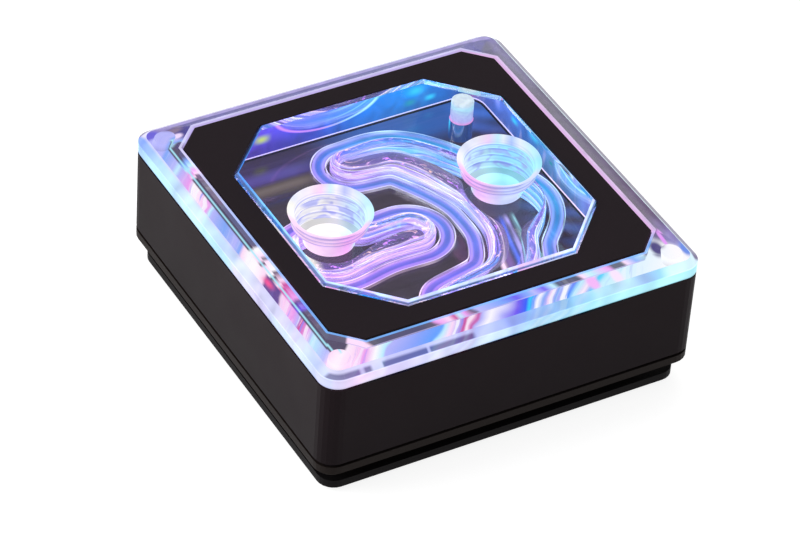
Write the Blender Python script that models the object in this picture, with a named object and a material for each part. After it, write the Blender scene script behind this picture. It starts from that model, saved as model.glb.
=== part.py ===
"""CPU water block: a lit clear top in a black housing, over a finned cold plate.

The block stands on its contact face at z = 0 and is centred on the z axis. Its front
is towards -Y, the inlet port is on the -X side and the outlet port on the +X side.
The pieces stack from the contact face up, and the widths follow from the port spacing
out to the housing's wall, so one changed size moves everything that depends on it.
"""
import math

import bmesh
import bpy
import numpy as np
from mathutils.geometry import tessellate_polygon

MM = 0.001

# Clearances
SEAT_GAP = 0.3 * MM
SIDE_GAP = 0.4 * MM

# Heights, from the contact face up
CONTACT_STAND_OFF = 1.0 * MM
MOUNTING_PLATE_THICKNESS = 1.5 * MM
BRACKET_SLOT_HEIGHT = 2.85 * MM
BAND_HEIGHT = 1.85 * MM
PAN_FLOOR_THICKNESS = 1.55 * MM
COLD_FLANGE_THICKNESS = 3.55 * MM
FLOW_PLATE_THICKNESS = 1.7 * MM
HOUSING_HEIGHT = 16.2 * MM
RIM_SIDE_HEIGHT = 1.95 * MM
STEEP_BEVEL_DROP = 1.0 * MM
MAIN_BEVEL_DROP = 1.35 * MM
ISLAND_RISE = 0.6 * MM

# Ports and channels in the clear top
PORT_SPACING = 32.4 * MM
PORT_RIM_DIAMETER = 14.5 * MM
THREAD_MINOR_DIAMETER = 11.8 * MM
THREAD_DEPTH = 6.2 * MM
PORT_BORE_DIAMETER = 8.8 * MM
CHANNEL_DEPTH = 6.0 * MM
CHANNEL_ARCH_HEIGHT = 3.4 * MM
COLLECTOR_END_RADIUS = 3.5 * MM
COLLECTOR_END_X = -2.2 * MM
COLLECTOR_SHIFT = 1.0 * MM
PORT_POCKET_RADIUS = 6.8 * MM
POCKET_SHIFT_X = 0.7 * MM
POCKET_SHIFT_Y = 1.6 * MM
INLET_CHANNEL_RADIUS = 4.4 * MM
INLET_OFFSET = 1.9 * MM

# Bends of the outlet channel, three behind its port and two in front: how far each lies
# in from the port and short of that end of the channel, and its half width
COLLECTOR_BEND_IN = (11.0 * MM, 6.6 * MM, 2.2 * MM, 2.6 * MM, 7.8 * MM)
COLLECTOR_BEND_SHORT = (0.6 * MM, 5.0 * MM, 13.2 * MM, 10.2 * MM, 2.1 * MM)
COLLECTOR_BEND_RADIUS = (4.1 * MM, 4.6 * MM, 5.0 * MM, 4.4 * MM, 4.4 * MM)
BENDS_BEHIND_PORT = 3

# How far the channels' ceilings round off from their walls, node by node
COLLECTOR_FILLET = (3.4 * MM, 3.4 * MM, 3.4 * MM, 2.6 * MM,
                    0.4 * MM, 2.8 * MM, 3.4 * MM, 3.4 * MM)
INLET_FILLET = (1.4 * MM, 2.4 * MM, 3.4 * MM)

# Grooves round the channels, and the tapped hole
GROOVE_WALL = 0.6 * MM
GROOVE_WIDTH = 2.8 * MM
GROOVE_DEPTH = 1.2 * MM
GROOVE_LAND = 0.5 * MM
GASKET_CLEARANCE = 0.3 * MM
EDGE_WALL = 1.0 * MM
SERVICE_HOLE_WALL = 0.4 * MM
SERVICE_HOLE_SHIFT = 0.6 * MM
SERVICE_HOLE_COVER = 2.2 * MM
SERVICE_THREAD_DIAMETER = 4.0 * MM
SERVICE_THREAD_DEPTH = 8.5 * MM
SERVICE_TIP_BEVEL = 1.0 * MM
SERVICE_CLEARANCE_DIAMETER = 4.2 * MM

# Clear top, face frame and housing
BODY_CORNER_RADIUS = 3.4 * MM
ACRYLIC_CORNER_RADIUS = 4.0 * MM
LIGHT_BAY_WIDTH = 5.1 * MM
HOUSING_WALL = 2.3 * MM
STEEP_BEVEL_RUN = 1.4 * MM
MAIN_BEVEL_RUN = 2.95 * MM
LEDGE_WIDTH = 0.45 * MM
FRAME_BAR_WIDTH = 4.2 * MM
FRAME_THICKNESS = 1.5 * MM
FRAME_EDGE_CHAMFER = 0.2 * MM
FRAME_OUTER_CUT = 4.3 * MM
WINDOW_CUT = 10.25 * MM
ADHESIVE_THICKNESS = 0.4 * MM
ADHESIVE_INSET = 0.5 * MM

# Housing inside and its lights
LIGHT_BAY_DEPTH = 4.2 * MM
SHELF_THICKNESS = 2.0 * MM
POST_INSET = 2.0 * MM
POST_RADIUS = 3.0 * MM
POST_RELIEF = 0.2 * MM
HOUSING_EDGE_CHAMFER = 0.3 * MM
BOARD_THICKNESS = 1.0 * MM
LED_LENGTH = 3.5 * MM
LED_DEPTH = 2.8 * MM
LED_HEIGHT = 1.6 * MM
LED_PITCH = 12.0 * MM
LED_WALL = 0.4 * MM
LEDS_PER_SIDE = 4
HEADER_WIDTH = 7.6 * MM
HEADER_DEPTH = 2.6 * MM
HEADER_HEIGHT = 2.4 * MM
HEADER_WALL = 0.5 * MM
HEADER_PIN = 0.6 * MM
HEADER_PIN_PITCH = 2.0 * MM
HEADER_PINS = 3
CABLE_NOTCH_WIDTH = 8.0 * MM
CABLE_NOTCH_DEPTH = 2.6 * MM
CABLE_HOLE_DIAMETER = 1.4 * MM
GROMMET_FLANGE = 0.5 * MM
GROMMET_FLANGE_THICKNESS = 0.6 * MM
GROMMET_TOP_DROP = 0.2 * MM

# Cold plate and jet plate
PEDESTAL_WIDTH = 39.0 * MM
PEDESTAL_CORNER_RADIUS = 2.0 * MM
PEDESTAL_CHAMFER = 0.3 * MM
FIN_THICKNESS = 0.3 * MM
FIN_PITCH = 0.6 * MM
FIN_HEIGHT = 2.0 * MM
FIN_LENGTH = 30.0 * MM
FIN_FIELD_WIDTH = 29.4 * MM
FIN_POCKET_CORNER = 2.0 * MM
JET_PLATE_THICKNESS = 0.5 * MM
JET_PLATE_CORNER = 1.0 * MM
JET_SLOT_WIDTH = 1.6 * MM
JET_SLOT_LENGTH = 24.0 * MM
FLOW_SLOT_RADIUS = 1.5 * MM
COLLECTOR_SLOT_LENGTH = 8.8 * MM
INLET_SLOT_LENGTH = 14.0 * MM
SLOT_MARGIN = 0.5 * MM
PLATE_GROOVE_MARGIN = 0.8 * MM
PLATE_GROOVE_WIDTH = 2.2 * MM
PLATE_GROOVE_DEPTH = 1.8 * MM
PLATE_GROOVE_CORNER = 1.5 * MM
PLATE_SEAL_BEVEL = 0.4 * MM
COLD_PLATE_EDGE = 1.8 * MM
COLD_PLATE_CORNER_RADIUS = 4.0 * MM

# Base frame and mounting plate
PAN_WALL = 4.2 * MM
PAN_CORNER_RADIUS = 6.5 * MM
BAND_EDGE_CHAMFER = 0.4 * MM
MOUNTING_PLATE_INSET = 1.6 * MM
MOUNTING_PLATE_CORNER_RADIUS = 3.0 * MM

# Fasteners: shaft, head and socket diameters, and head height
CORNER_SCREW = (3.0 * MM, 5.4 * MM, 2.0 * MM, 1.2 * MM)
PLATE_SCREW = (2.5 * MM, 4.6 * MM, 1.5 * MM, 1.05 * MM)
BOARD_SCREW = (2.0 * MM, 3.6 * MM, 1.3 * MM, 1.2 * MM)
SCREW_GAP = 0.35 * MM
SOCKET_SHARE = 0.6
CORNER_SCREW_COVER = 0.65 * MM
PLATE_SCREW_BITE = 2.6 * MM
BOARD_SCREW_BITE = 1.3 * MM
BOARD_SCREW_SHIFT = 12.0 * MM

# Fineness of the round forms
CORNER_STEPS = 6
PORT_STEPS = 40
HOLE_STEPS = 12
COLLECTOR_STEPS = 44
INLET_STEPS = 28
COLLECTOR_SPAN_STEPS = 10
INLET_SPAN_STEPS = 16
END_CAP_POINTS = 9
FILLET_STEPS = 4
ROUND_EDGE = math.radians(35)

# How far a cutter reaches past the surface that it opens, and how deep inside a milled
# outline one of its points may lie before it is dropped
TOOL_OVERRUN = 0.5 * MM
TRIM_TOLERANCE = 0.002 * MM

# Heights worked out from the stack
MOUNTING_PLATE_TOP = CONTACT_STAND_OFF + MOUNTING_PLATE_THICKNESS
PAN_BASE = MOUNTING_PLATE_TOP + SEAT_GAP
PAN_FLOOR_TOP = PAN_BASE + PAN_FLOOR_THICKNESS
COLD_FLANGE_BASE = PAN_FLOOR_TOP + SEAT_GAP
COLD_PLATE_TOP = COLD_FLANGE_BASE + COLD_FLANGE_THICKNESS
FLOW_PLATE_BASE = COLD_PLATE_TOP + SEAT_GAP
ACRYLIC_BASE = FLOW_PLATE_BASE + FLOW_PLATE_THICKNESS + SEAT_GAP
BAND_BASE = MOUNTING_PLATE_TOP + BRACKET_SLOT_HEIGHT
BAND_TOP = BAND_BASE + BAND_HEIGHT
HOUSING_BASE = BAND_TOP + SEAT_GAP
HOUSING_TOP = HOUSING_BASE + HOUSING_HEIGHT
RIM_BASE = HOUSING_TOP + SEAT_GAP
RIM_SIDE_TOP = RIM_BASE + RIM_SIDE_HEIGHT
STEEP_BEVEL_TOP = RIM_SIDE_TOP + STEEP_BEVEL_DROP
PLATEAU = STEEP_BEVEL_TOP + MAIN_BEVEL_DROP
ISLAND_TOP = PLATEAU + ISLAND_RISE
FRAME_BASE = PLATEAU - FRAME_THICKNESS
ADHESIVE_BASE = FRAME_BASE - SEAT_GAP - ADHESIVE_THICKNESS
RECESS_FLOOR = ADHESIVE_BASE - SEAT_GAP
SHELF_TOP = HOUSING_TOP - LIGHT_BAY_DEPTH
SHELF_BASE = SHELF_TOP - SHELF_THICKNESS
BOARD_BASE = SHELF_TOP + SEAT_GAP
BOARD_TOP = BOARD_BASE + BOARD_THICKNESS
CHANNEL_CEILING = ACRYLIC_BASE + CHANNEL_DEPTH
JET_PLATE_BASE = COLD_PLATE_TOP - JET_PLATE_THICKNESS
FIN_TOP = JET_PLATE_BASE - SEAT_GAP
FIN_FLOOR = FIN_TOP - FIN_HEIGHT
NOTCH_FLOOR = HOUSING_TOP - CABLE_NOTCH_DEPTH
CORNER_SCREW_TIP = STEEP_BEVEL_TOP - CORNER_SCREW_COVER
PLATE_SCREW_TIP = PAN_BASE + PLATE_SCREW_BITE
BOARD_SCREW_FACE = BOARD_TOP + SEAT_GAP + BOARD_SCREW[3]
BOARD_SCREW_TIP = SHELF_TOP - BOARD_SCREW_BITE

# Half widths worked out from the ports to the wall
PORT_X = PORT_SPACING / 2
GROOVE_REACH = GROOVE_WALL + GROOVE_WIDTH
POCKET_X = PORT_X + POCKET_SHIFT_X
ACRYLIC_HALF = POCKET_X + PORT_POCKET_RADIUS + GROOVE_REACH + EDGE_WALL
BAY_HALF = ACRYLIC_HALF + LIGHT_BAY_WIDTH
BODY_HALF = BAY_HALF + HOUSING_WALL
STEEP_BEVEL_HALF = BODY_HALF - STEEP_BEVEL_RUN
PLATEAU_HALF = STEEP_BEVEL_HALF - MAIN_BEVEL_RUN
RECESS_HALF = PLATEAU_HALF - LEDGE_WIDTH
FRAME_HALF = RECESS_HALF - SEAT_GAP
WINDOW_HALF = FRAME_HALF - FRAME_BAR_WIDTH
ISLAND_HALF = WINDOW_HALF - SEAT_GAP
BOARD_INNER_HALF = ACRYLIC_HALF + SIDE_GAP
BOARD_OUTER_HALF = BAY_HALF - SIDE_GAP
BOARD_LINE = (BOARD_INNER_HALF + BOARD_OUTER_HALF) / 2
POST_XY = BAY_HALF - POST_INSET
COLLECTOR_REACH = (ACRYLIC_HALF - EDGE_WALL - GROOVE_REACH
                   - COLLECTOR_END_RADIUS - COLLECTOR_SHIFT)
INLET_END_X = (POCKET_X - PORT_POCKET_RADIUS - GROOVE_REACH - GROOVE_LAND
               - GROOVE_REACH - INLET_CHANNEL_RADIUS)
FIN_POCKET_HALF_X = FIN_FIELD_WIDTH / 2 + SIDE_GAP
FIN_POCKET_HALF_Y = COLLECTOR_REACH + FLOW_SLOT_RADIUS + SLOT_MARGIN
PLATE_GROOVE_INNER = max(FIN_POCKET_HALF_X, FIN_POCKET_HALF_Y) + PLATE_GROOVE_MARGIN
PLATE_GROOVE_OUTER = PLATE_GROOVE_INNER + PLATE_GROOVE_WIDTH
COLD_PLATE_HALF = PLATE_GROOVE_OUTER + COLD_PLATE_EDGE
PEDESTAL_HALF = PEDESTAL_WIDTH / 2
PAN_POCKET_HALF = COLD_PLATE_HALF + SIDE_GAP
PAN_HALF = PAN_POCKET_HALF + PAN_WALL
MOUNTING_PLATE_HALF = BODY_HALF - MOUNTING_PLATE_INSET
COLLECTOR_SLOT_X = COLLECTOR_END_X + COLLECTOR_SLOT_LENGTH / 2 - FLOW_SLOT_RADIUS
INLET_SLOT_X = INLET_END_X + FLOW_SLOT_RADIUS - INLET_SLOT_LENGTH / 2

# How much of a corner's radius an arc leaves off each side along the diagonal
ARC_INSET = 1 - math.sqrt(0.5)
PLATE_SCREW_XY = (PAN_POCKET_HALF - (COLD_PLATE_CORNER_RADIUS + SIDE_GAP) * ARC_INSET
                  + PAN_HALF - PAN_CORNER_RADIUS * ARC_INSET) / 2

# How far an outer 45 degree corner cut grows when its octagon moves out by one unit
CUT_GROWTH = 2 - math.sqrt(2)


def square_ring(half, corner, z, steps=CORNER_STEPS, straight=False):
    """Points round a square whose corners are arcs, or straight 45 degree cuts."""
    points = []
    for quarter in range(4):
        turn = quarter * math.pi / 2
        for step in range(steps + 1):
            share = step / steps
            if straight:
                x = half - corner * share
                y = half - corner * (1 - share)
            else:
                x = half - corner + corner * math.cos(share * math.pi / 2)
                y = half - corner + corner * math.sin(share * math.pi / 2)
            points.append((x * math.cos(turn) - y * math.sin(turn),
                           x * math.sin(turn) + y * math.cos(turn), z))
    return points


def octagon_ring(half, cut, z, steps=1):
    """Points round a square with 45 degree corner cuts."""
    return square_ring(half, cut, z, steps, straight=True)


def circle_ring(x, y, radius, z, steps=HOLE_STEPS):
    """Points round a circle, the first one towards +X."""
    angles = [2 * math.pi * step / steps for step in range(steps)]
    return [(x + radius * math.cos(a), y + radius * math.sin(a), z) for a in angles]


def hexagon_ring(x, y, flats, z, steps=HOLE_STEPS):
    """Points round a hexagon, at the same angles as those of a circle ring."""
    sixth = math.pi / 3
    points = []
    for step in range(steps):
        angle = 2 * math.pi * step / steps
        reach = flats / 2 / math.cos(angle % sixth - sixth / 2)
        points.append((x + reach * math.cos(angle), y + reach * math.sin(angle), z))
    return points


def box_ring(x, y, width, depth, z):
    """Points round a rectangle centred on x, y."""
    signs = ((1, -1), (1, 1), (-1, 1), (-1, -1))
    return [(x + sx * width / 2, y + sy * depth / 2, z) for sx, sy in signs]


def slot_ring(x, y, length, radius, z, steps=HOLE_STEPS):
    """Points round a slot with round ends that lies along X."""
    points = []
    for side in (1, -1):
        centre = x + side * (length / 2 - radius)
        for step in range(steps // 2 + 1):
            angle = math.pi * (step / (steps // 2) - 0.5)
            points.append((centre + side * radius * math.cos(angle),
                           y + side * radius * math.sin(angle), z))
    return points


def rectangle_ring(half_x, half_y, corner, z):
    """Points round a rectangle with arcs at its corners."""
    ring = square_ring(half_x, corner, z)
    stretch = half_y - half_x
    return [(x, y + math.copysign(stretch, y), z) for x, y, z in ring]


def upright(ring, y):
    """The flat ring stood up at y, its own y turned into height."""
    return [(x, y, height) for x, height, _ in ring]


def smooth_path(nodes, steps):
    """Points on a curve through the nodes (x, y, radius, fillet): a Catmull-Rom spline."""
    nodes = np.array(nodes)
    padded = np.vstack((2 * nodes[0] - nodes[1], nodes, 2 * nodes[-1] - nodes[-2]))
    t = np.linspace(0, 1, steps, endpoint=False)[:, None]
    spans = []
    for before, start, end, after in zip(padded, padded[1:], padded[2:], padded[3:]):
        spans.append(start + 0.5 * t * (end - before)
                     + 0.5 * t**2 * (2 * before - 5 * start + 4 * end - after)
                     + 0.5 * t**3 * (3 * start - before - 3 * end + after))
    return np.vstack((*spans, nodes[-1:]))


def even_points(points, count):
    """The open line through the points, divided into count equal steps."""
    lengths = np.linalg.norm(np.diff(points, axis=0), axis=1)
    along = np.concatenate(([0], np.cumsum(lengths)))
    places = np.linspace(0, along[-1], count + 1)
    return np.column_stack([np.interp(places, along, points[:, axis]) for axis in (0, 1)])


def pocket_outline(path, grow, count):
    """Outline of a pocket milled along a path of (x, y, radius, fillet), grown by grow.

    Each side wall is the envelope of the cutter's circles from one end's tip to the
    other. A point that another circle swallows is dropped, which trims tight bends.
    """
    centre = path[:, :2]
    radius = path[:, 2] + grow
    step = np.gradient(centre, axis=0)
    heading = np.arctan2(step[:, 1], step[:, 0])
    spread = np.arccos(-np.gradient(radius) / np.linalg.norm(step, axis=1))
    cap = np.linspace(0, 1, END_CAP_POINTS)
    along = np.arange(len(path))
    owner = np.concatenate((0 * cap, along, 0 * cap + along[-1])).astype(int)
    sides = []
    for side in (-1, 1):
        first = heading[0] + side * (math.pi + (spread[0] - math.pi) * cap)
        last = heading[-1] + side * spread[-1] * (1 - cap)
        angle = np.concatenate((first, heading + side * spread, last))
        reach = radius[owner][:, None] * np.column_stack((np.cos(angle), np.sin(angle)))
        points = centre[owner] + reach
        outside = np.linalg.norm(points[:, None] - centre[None], axis=2) - radius[None]
        clear = outside.min(axis=1) > -TRIM_TOLERANCE
        sides.append(even_points(points[clear], count))
    return np.vstack((sides[0][:-1], sides[1][:0:-1]))


def ring_at(outline, z):
    """The outline as a ring of points at height z."""
    return [(float(x), float(y), z) for x, y in outline]


def add_body(mesh, outer, holes=()):
    """Add a closed solid to the mesh.

    Its outer skin and each hole are a stack of rings with equal numbers of points.
    The first rings bound its one end face and the last rings the other.
    """
    skins = []
    for rings in (outer, *holes):
        skins.append([[mesh.verts.new(point) for point in ring] for ring in rings])
    for skin in skins:
        for lower, upper in zip(skin, skin[1:]):
            for index in range(len(lower)):
                after = (index + 1) % len(lower)
                mesh.faces.new((lower[index], lower[after], upper[after], upper[index]))
    for end in (0, -1):
        if len(skins) == 1:
            mesh.faces.new(skins[0][end])
            continue
        corners = [vertex for skin in skins for vertex in skin[end]]
        outlines = [[vertex.co for vertex in skin[end]] for skin in skins]
        for triangle in tessellate_polygon(outlines):
            mesh.faces.new([corners[index] for index in triangle])


def add_loop(mesh, rings):
    """Add a closed solid whose skin goes round through the rings and back to the first."""
    skin = [[mesh.verts.new(point) for point in ring] for ring in rings]
    for lower, upper in zip(skin, skin[1:] + skin[:1]):
        for index in range(len(lower)):
            after = (index + 1) % len(lower)
            mesh.faces.new((lower[index], lower[after], upper[after], upper[index]))


def make_object(name, mesh, material, base=0.0, smooth_angle=None):
    """Turn the mesh into an object with its origin at height base."""
    bmesh.ops.translate(mesh, verts=mesh.verts, vec=(0, 0, -base))
    bmesh.ops.recalc_face_normals(mesh, faces=mesh.faces)
    data = bpy.data.meshes.new(name)
    mesh.to_mesh(data)
    mesh.free()
    if material is not None:
        data.materials.append(material)
    if smooth_angle is not None:
        data.shade_smooth()
        data.set_sharp_from_angle(angle=smooth_angle)
    piece = bpy.data.objects.new(name, data)
    piece.location.z = base
    bpy.context.scene.collection.objects.link(piece)
    return piece


def apply_tool(piece, name, mesh, operation="DIFFERENCE"):
    """Cut the mesh from the piece, or join it on, as a live Boolean modifier."""
    tool = make_object(name, mesh, None)
    tool.hide_render = True
    tool.display_type = "WIRE"
    modifier = piece.modifiers.new(name, "BOOLEAN")
    modifier.operation = operation
    modifier.solver = "EXACT"
    modifier.object = tool


def make_material(name, colour, roughness, metallic=0.0, alpha=1.0):
    """A plain surface of one colour."""
    material = bpy.data.materials.new(name)
    material.use_nodes = True
    shader = material.node_tree.nodes["Principled BSDF"]
    shader.inputs["Base Color"].default_value = (*colour, 1.0)
    shader.inputs["Roughness"].default_value = roughness
    shader.inputs["Metallic"].default_value = metallic
    shader.inputs["Alpha"].default_value = alpha
    return material


def corner_places(reach):
    """The four points at plus and minus reach in x and y."""
    return [(sx * reach, sy * reach) for sx in (1, -1) for sy in (1, -1)]


def side_places(line, shift):
    """One point on each side of the block, each shifted along its side the same way round."""
    return [(line, shift), (-shift, line), (-line, -shift), (shift, -line)]


def screw_rings(x, y, size, head_face, tip, countersunk=False):
    """Rings of a socket screw, from its tip to the floor of its socket.

    The head's outer face is at height head_face and the shaft ends at height tip.
    """
    shaft, head, socket, head_height = size
    inward = math.copysign(1, tip - head_face)
    under = head_face + inward * head_height
    socket_floor = head_face + inward * head_height * SOCKET_SHARE
    rings = [circle_ring(x, y, shaft / 2, tip), circle_ring(x, y, shaft / 2, under)]
    if not countersunk:
        rings.append(circle_ring(x, y, head / 2, under))
    rings.append(circle_ring(x, y, head / 2, head_face))
    rings.append(hexagon_ring(x, y, socket, head_face))
    rings.append(hexagon_ring(x, y, socket, socket_floor))
    return rings


def screw_hole_rings(x, y, size, head_face, tip, countersunk=False):
    """Rings of the clearance hole of a socket screw, a little past its tip and its head."""
    shaft, head, _, head_height = size
    inward = math.copysign(1, tip - head_face)
    under = head_face + inward * head_height
    bore = shaft / 2 + SCREW_GAP
    rings = [circle_ring(x, y, bore, tip + inward * SEAT_GAP), circle_ring(x, y, bore, under)]
    if not countersunk:
        rings.append(circle_ring(x, y, bore, head_face))
        return rings
    wide = head / 2 + SCREW_GAP
    rings.append(circle_ring(x, y, wide, head_face))
    rings.append(circle_ring(x, y, wide, head_face - inward * TOOL_OVERRUN))
    return rings


def drill(piece, name, places, size, head_face, tip, countersunk=False):
    """Cut the clearance holes of a set of screws from the piece."""
    mesh = bmesh.new()
    for x, y in places:
        add_body(mesh, screw_hole_rings(x, y, size, head_face, tip, countersunk))
    apply_tool(piece, name, mesh)


def make_copies(name, mesh, material, places, base):
    """Equal pieces that share one mesh, each at its (x, y) or (x, y, turn)."""
    data = None
    for number, (x, y, *turn) in enumerate(places, 1):
        if data is None:
            piece = make_object(f"{name}_{number}", mesh, material, base, ROUND_EDGE)
            data = piece.data
        else:
            piece = bpy.data.objects.new(f"{name}_{number}", data)
            bpy.context.scene.collection.objects.link(piece)
        piece.location = (x, y, base)
        piece.rotation_euler.z = turn[0] if turn else 0.0


def make_screws(name, places, size, head_face, tip, material, countersunk=False):
    """One set of equal screws."""
    mesh = bmesh.new()
    add_body(mesh, screw_rings(0, 0, size, head_face, tip, countersunk))
    make_copies(name, mesh, material, places, min(head_face, tip))


def collector_path():
    """The outlet channel from its back end, through the pocket at the port, to its front end."""
    back_y = COLLECTOR_REACH - COLLECTOR_SHIFT
    front_y = -COLLECTOR_REACH - COLLECTOR_SHIFT
    x = [PORT_X - inward for inward in COLLECTOR_BEND_IN]
    y = [back_y - short for short in COLLECTOR_BEND_SHORT[:BENDS_BEHIND_PORT]]
    y += [front_y + short for short in COLLECTOR_BEND_SHORT[BENDS_BEHIND_PORT:]]
    bends = list(zip(x, y, COLLECTOR_BEND_RADIUS))
    nodes = ((COLLECTOR_END_X, back_y, COLLECTOR_END_RADIUS), *bends[:BENDS_BEHIND_PORT],
             (POCKET_X, -POCKET_SHIFT_Y, PORT_POCKET_RADIUS),
             *bends[BENDS_BEHIND_PORT:], (COLLECTOR_END_X, front_y, COLLECTOR_END_RADIUS))
    return smooth_path(np.column_stack((nodes, COLLECTOR_FILLET)), COLLECTOR_SPAN_STEPS)


def inlet_path():
    """The inlet channel: from the pocket under the port to its end over the jet slot."""
    middle = (INLET_END_X - PORT_X) / 2
    nodes = ((-PORT_X, -POCKET_SHIFT_Y / 2, PORT_POCKET_RADIUS),
             (middle, -INLET_OFFSET, INLET_CHANNEL_RADIUS),
             (INLET_END_X, -INLET_OFFSET, INLET_CHANNEL_RADIUS))
    return smooth_path(np.column_stack((nodes, INLET_FILLET)), INLET_SPAN_STEPS)


def add_channel(mesh, path, steps):
    """The cutter of one milled channel, whose ceiling is rounded along its walls."""
    wall = pocket_outline(path, 0, steps)
    rings = [ring_at(wall, ACRYLIC_BASE - TOOL_OVERRUN)]
    for angle in np.linspace(0, math.pi / 2, FILLET_STEPS + 1):
        shrink = path[:, 3] * (1 - math.cos(angle))
        height = CHANNEL_CEILING - CHANNEL_ARCH_HEIGHT * (1 - math.sin(angle))
        rings.append(ring_at(pocket_outline(path, -shrink, steps), height))
    add_body(mesh, rings)


def add_groove_band(mesh, path, steps, inset, base, top):
    """A flat band that follows the channel's wall, inset from both sides of its groove."""
    inner = pocket_outline(path, GROOVE_WALL + inset, steps)
    outer = pocket_outline(path, GROOVE_REACH - inset, steps)
    add_body(mesh, [ring_at(outer, base), ring_at(outer, top)],
             [[ring_at(inner, base), ring_at(inner, top)]])


def add_port(mesh, x):
    """The cutter of one port: rim chamfer, threaded bore, step and bore into the channel."""
    rim_drop = (PORT_RIM_DIAMETER - THREAD_MINOR_DIAMETER) / 2
    step_height = ISLAND_TOP - THREAD_DEPTH
    profile = ((PORT_RIM_DIAMETER / 2 + TOOL_OVERRUN, ISLAND_TOP + TOOL_OVERRUN),
               (THREAD_MINOR_DIAMETER / 2, ISLAND_TOP - rim_drop),
               (THREAD_MINOR_DIAMETER / 2, step_height),
               (PORT_BORE_DIAMETER / 2, step_height),
               (PORT_BORE_DIAMETER / 2, CHANNEL_CEILING - TOOL_OVERRUN))
    add_body(mesh, [circle_ring(x, 0, radius, z, PORT_STEPS) for radius, z in profile])


def add_service_hole(mesh):
    """The cutter of the blind tapped hole at the back right, drilled from below."""
    cut = WINDOW_CUT - SEAT_GAP * CUT_GROWTH
    wall = SERVICE_THREAD_DIAMETER / 2 + SERVICE_HOLE_WALL
    middle = (2 * ISLAND_HALF - cut - wall * math.sqrt(2)) / 2
    x = middle + SERVICE_HOLE_SHIFT
    y = middle - SERVICE_HOLE_SHIFT
    tip = ISLAND_TOP - SERVICE_HOLE_COVER
    shoulder = tip - SERVICE_THREAD_DEPTH
    profile = ((SERVICE_CLEARANCE_DIAMETER / 2, ACRYLIC_BASE - TOOL_OVERRUN),
               (SERVICE_CLEARANCE_DIAMETER / 2, shoulder),
               (SERVICE_THREAD_DIAMETER / 2, shoulder),
               (SERVICE_THREAD_DIAMETER / 2, tip - SERVICE_TIP_BEVEL / 2),
               (SERVICE_THREAD_DIAMETER / 2 - SERVICE_TIP_BEVEL, tip))
    add_body(mesh, [circle_ring(x, y, radius, z, HOLE_STEPS) for radius, z in profile])


def make_clear_top(material):
    """The clear top, milled from one block: rim, frame recess, ports and channels."""
    foot_cut = WINDOW_CUT - SEAT_GAP * CUT_GROWTH
    top_cut = foot_cut - ISLAND_RISE * CUT_GROWTH
    recess_cut = FRAME_OUTER_CUT + SEAT_GAP * CUT_GROWTH
    plateau_cut = recess_cut + LEDGE_WIDTH * CUT_GROWTH
    steep_corner = BODY_CORNER_RADIUS - STEEP_BEVEL_RUN
    mesh = bmesh.new()
    add_body(mesh, [
        square_ring(ACRYLIC_HALF, ACRYLIC_CORNER_RADIUS, ACRYLIC_BASE),
        square_ring(ACRYLIC_HALF, ACRYLIC_CORNER_RADIUS, RIM_BASE),
        square_ring(BODY_HALF, BODY_CORNER_RADIUS, RIM_BASE),
        square_ring(BODY_HALF, BODY_CORNER_RADIUS, RIM_SIDE_TOP),
        square_ring(STEEP_BEVEL_HALF, steep_corner, STEEP_BEVEL_TOP),
        octagon_ring(PLATEAU_HALF, plateau_cut, PLATEAU, CORNER_STEPS),
        octagon_ring(RECESS_HALF, recess_cut, PLATEAU, CORNER_STEPS),
        octagon_ring(RECESS_HALF, recess_cut, RECESS_FLOOR, CORNER_STEPS),
        octagon_ring(ISLAND_HALF, foot_cut, RECESS_FLOOR, CORNER_STEPS),
        octagon_ring(ISLAND_HALF, foot_cut, PLATEAU, CORNER_STEPS),
        octagon_ring(ISLAND_HALF - ISLAND_RISE, top_cut, ISLAND_TOP, CORNER_STEPS)])
    piece = make_object("acrylic_top", mesh, material, ACRYLIC_BASE, ROUND_EDGE)

    channels = bmesh.new()
    add_channel(channels, collector_path(), COLLECTOR_STEPS)
    add_channel(channels, inlet_path(), INLET_STEPS)
    groove_top = ACRYLIC_BASE + GROOVE_DEPTH
    below = ACRYLIC_BASE - TOOL_OVERRUN
    add_groove_band(channels, collector_path(), COLLECTOR_STEPS, 0, below, groove_top)
    add_groove_band(channels, inlet_path(), INLET_STEPS, 0, below, groove_top)
    add_service_hole(channels)
    apply_tool(piece, "channel_cut", channels)

    ports = bmesh.new()
    for x in (-PORT_X, PORT_X):
        add_port(ports, x)
    apply_tool(piece, "port_cut", ports)
    drill(piece, "top_screw_cut", corner_places(POST_XY), CORNER_SCREW,
          BAND_BASE, CORNER_SCREW_TIP, countersunk=True)


def make_gasket(name, path, steps, material):
    """A flat gasket in the groove round one channel."""
    mesh = bmesh.new()
    add_groove_band(mesh, path, steps, GASKET_CLEARANCE, ACRYLIC_BASE,
                    ACRYLIC_BASE + GROOVE_DEPTH - SEAT_GAP)
    make_object(name, mesh, material, ACRYLIC_BASE)


def make_face_frame(material):
    """The flat eight-sided frame that lies in the recess round the window."""
    chamfer = FRAME_EDGE_CHAMFER
    outer = ((0, FRAME_BASE), (0, PLATEAU - chamfer), (-chamfer, PLATEAU))
    window = ((0, FRAME_BASE), (0, PLATEAU))
    mesh = bmesh.new()
    add_body(mesh,
             [octagon_ring(FRAME_HALF + grow, FRAME_OUTER_CUT + grow * CUT_GROWTH, z)
              for grow, z in outer],
             [[octagon_ring(WINDOW_HALF + grow, WINDOW_CUT + grow * CUT_GROWTH, z)
               for grow, z in window]])
    make_object("face_frame", mesh, material, FRAME_BASE)


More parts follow.
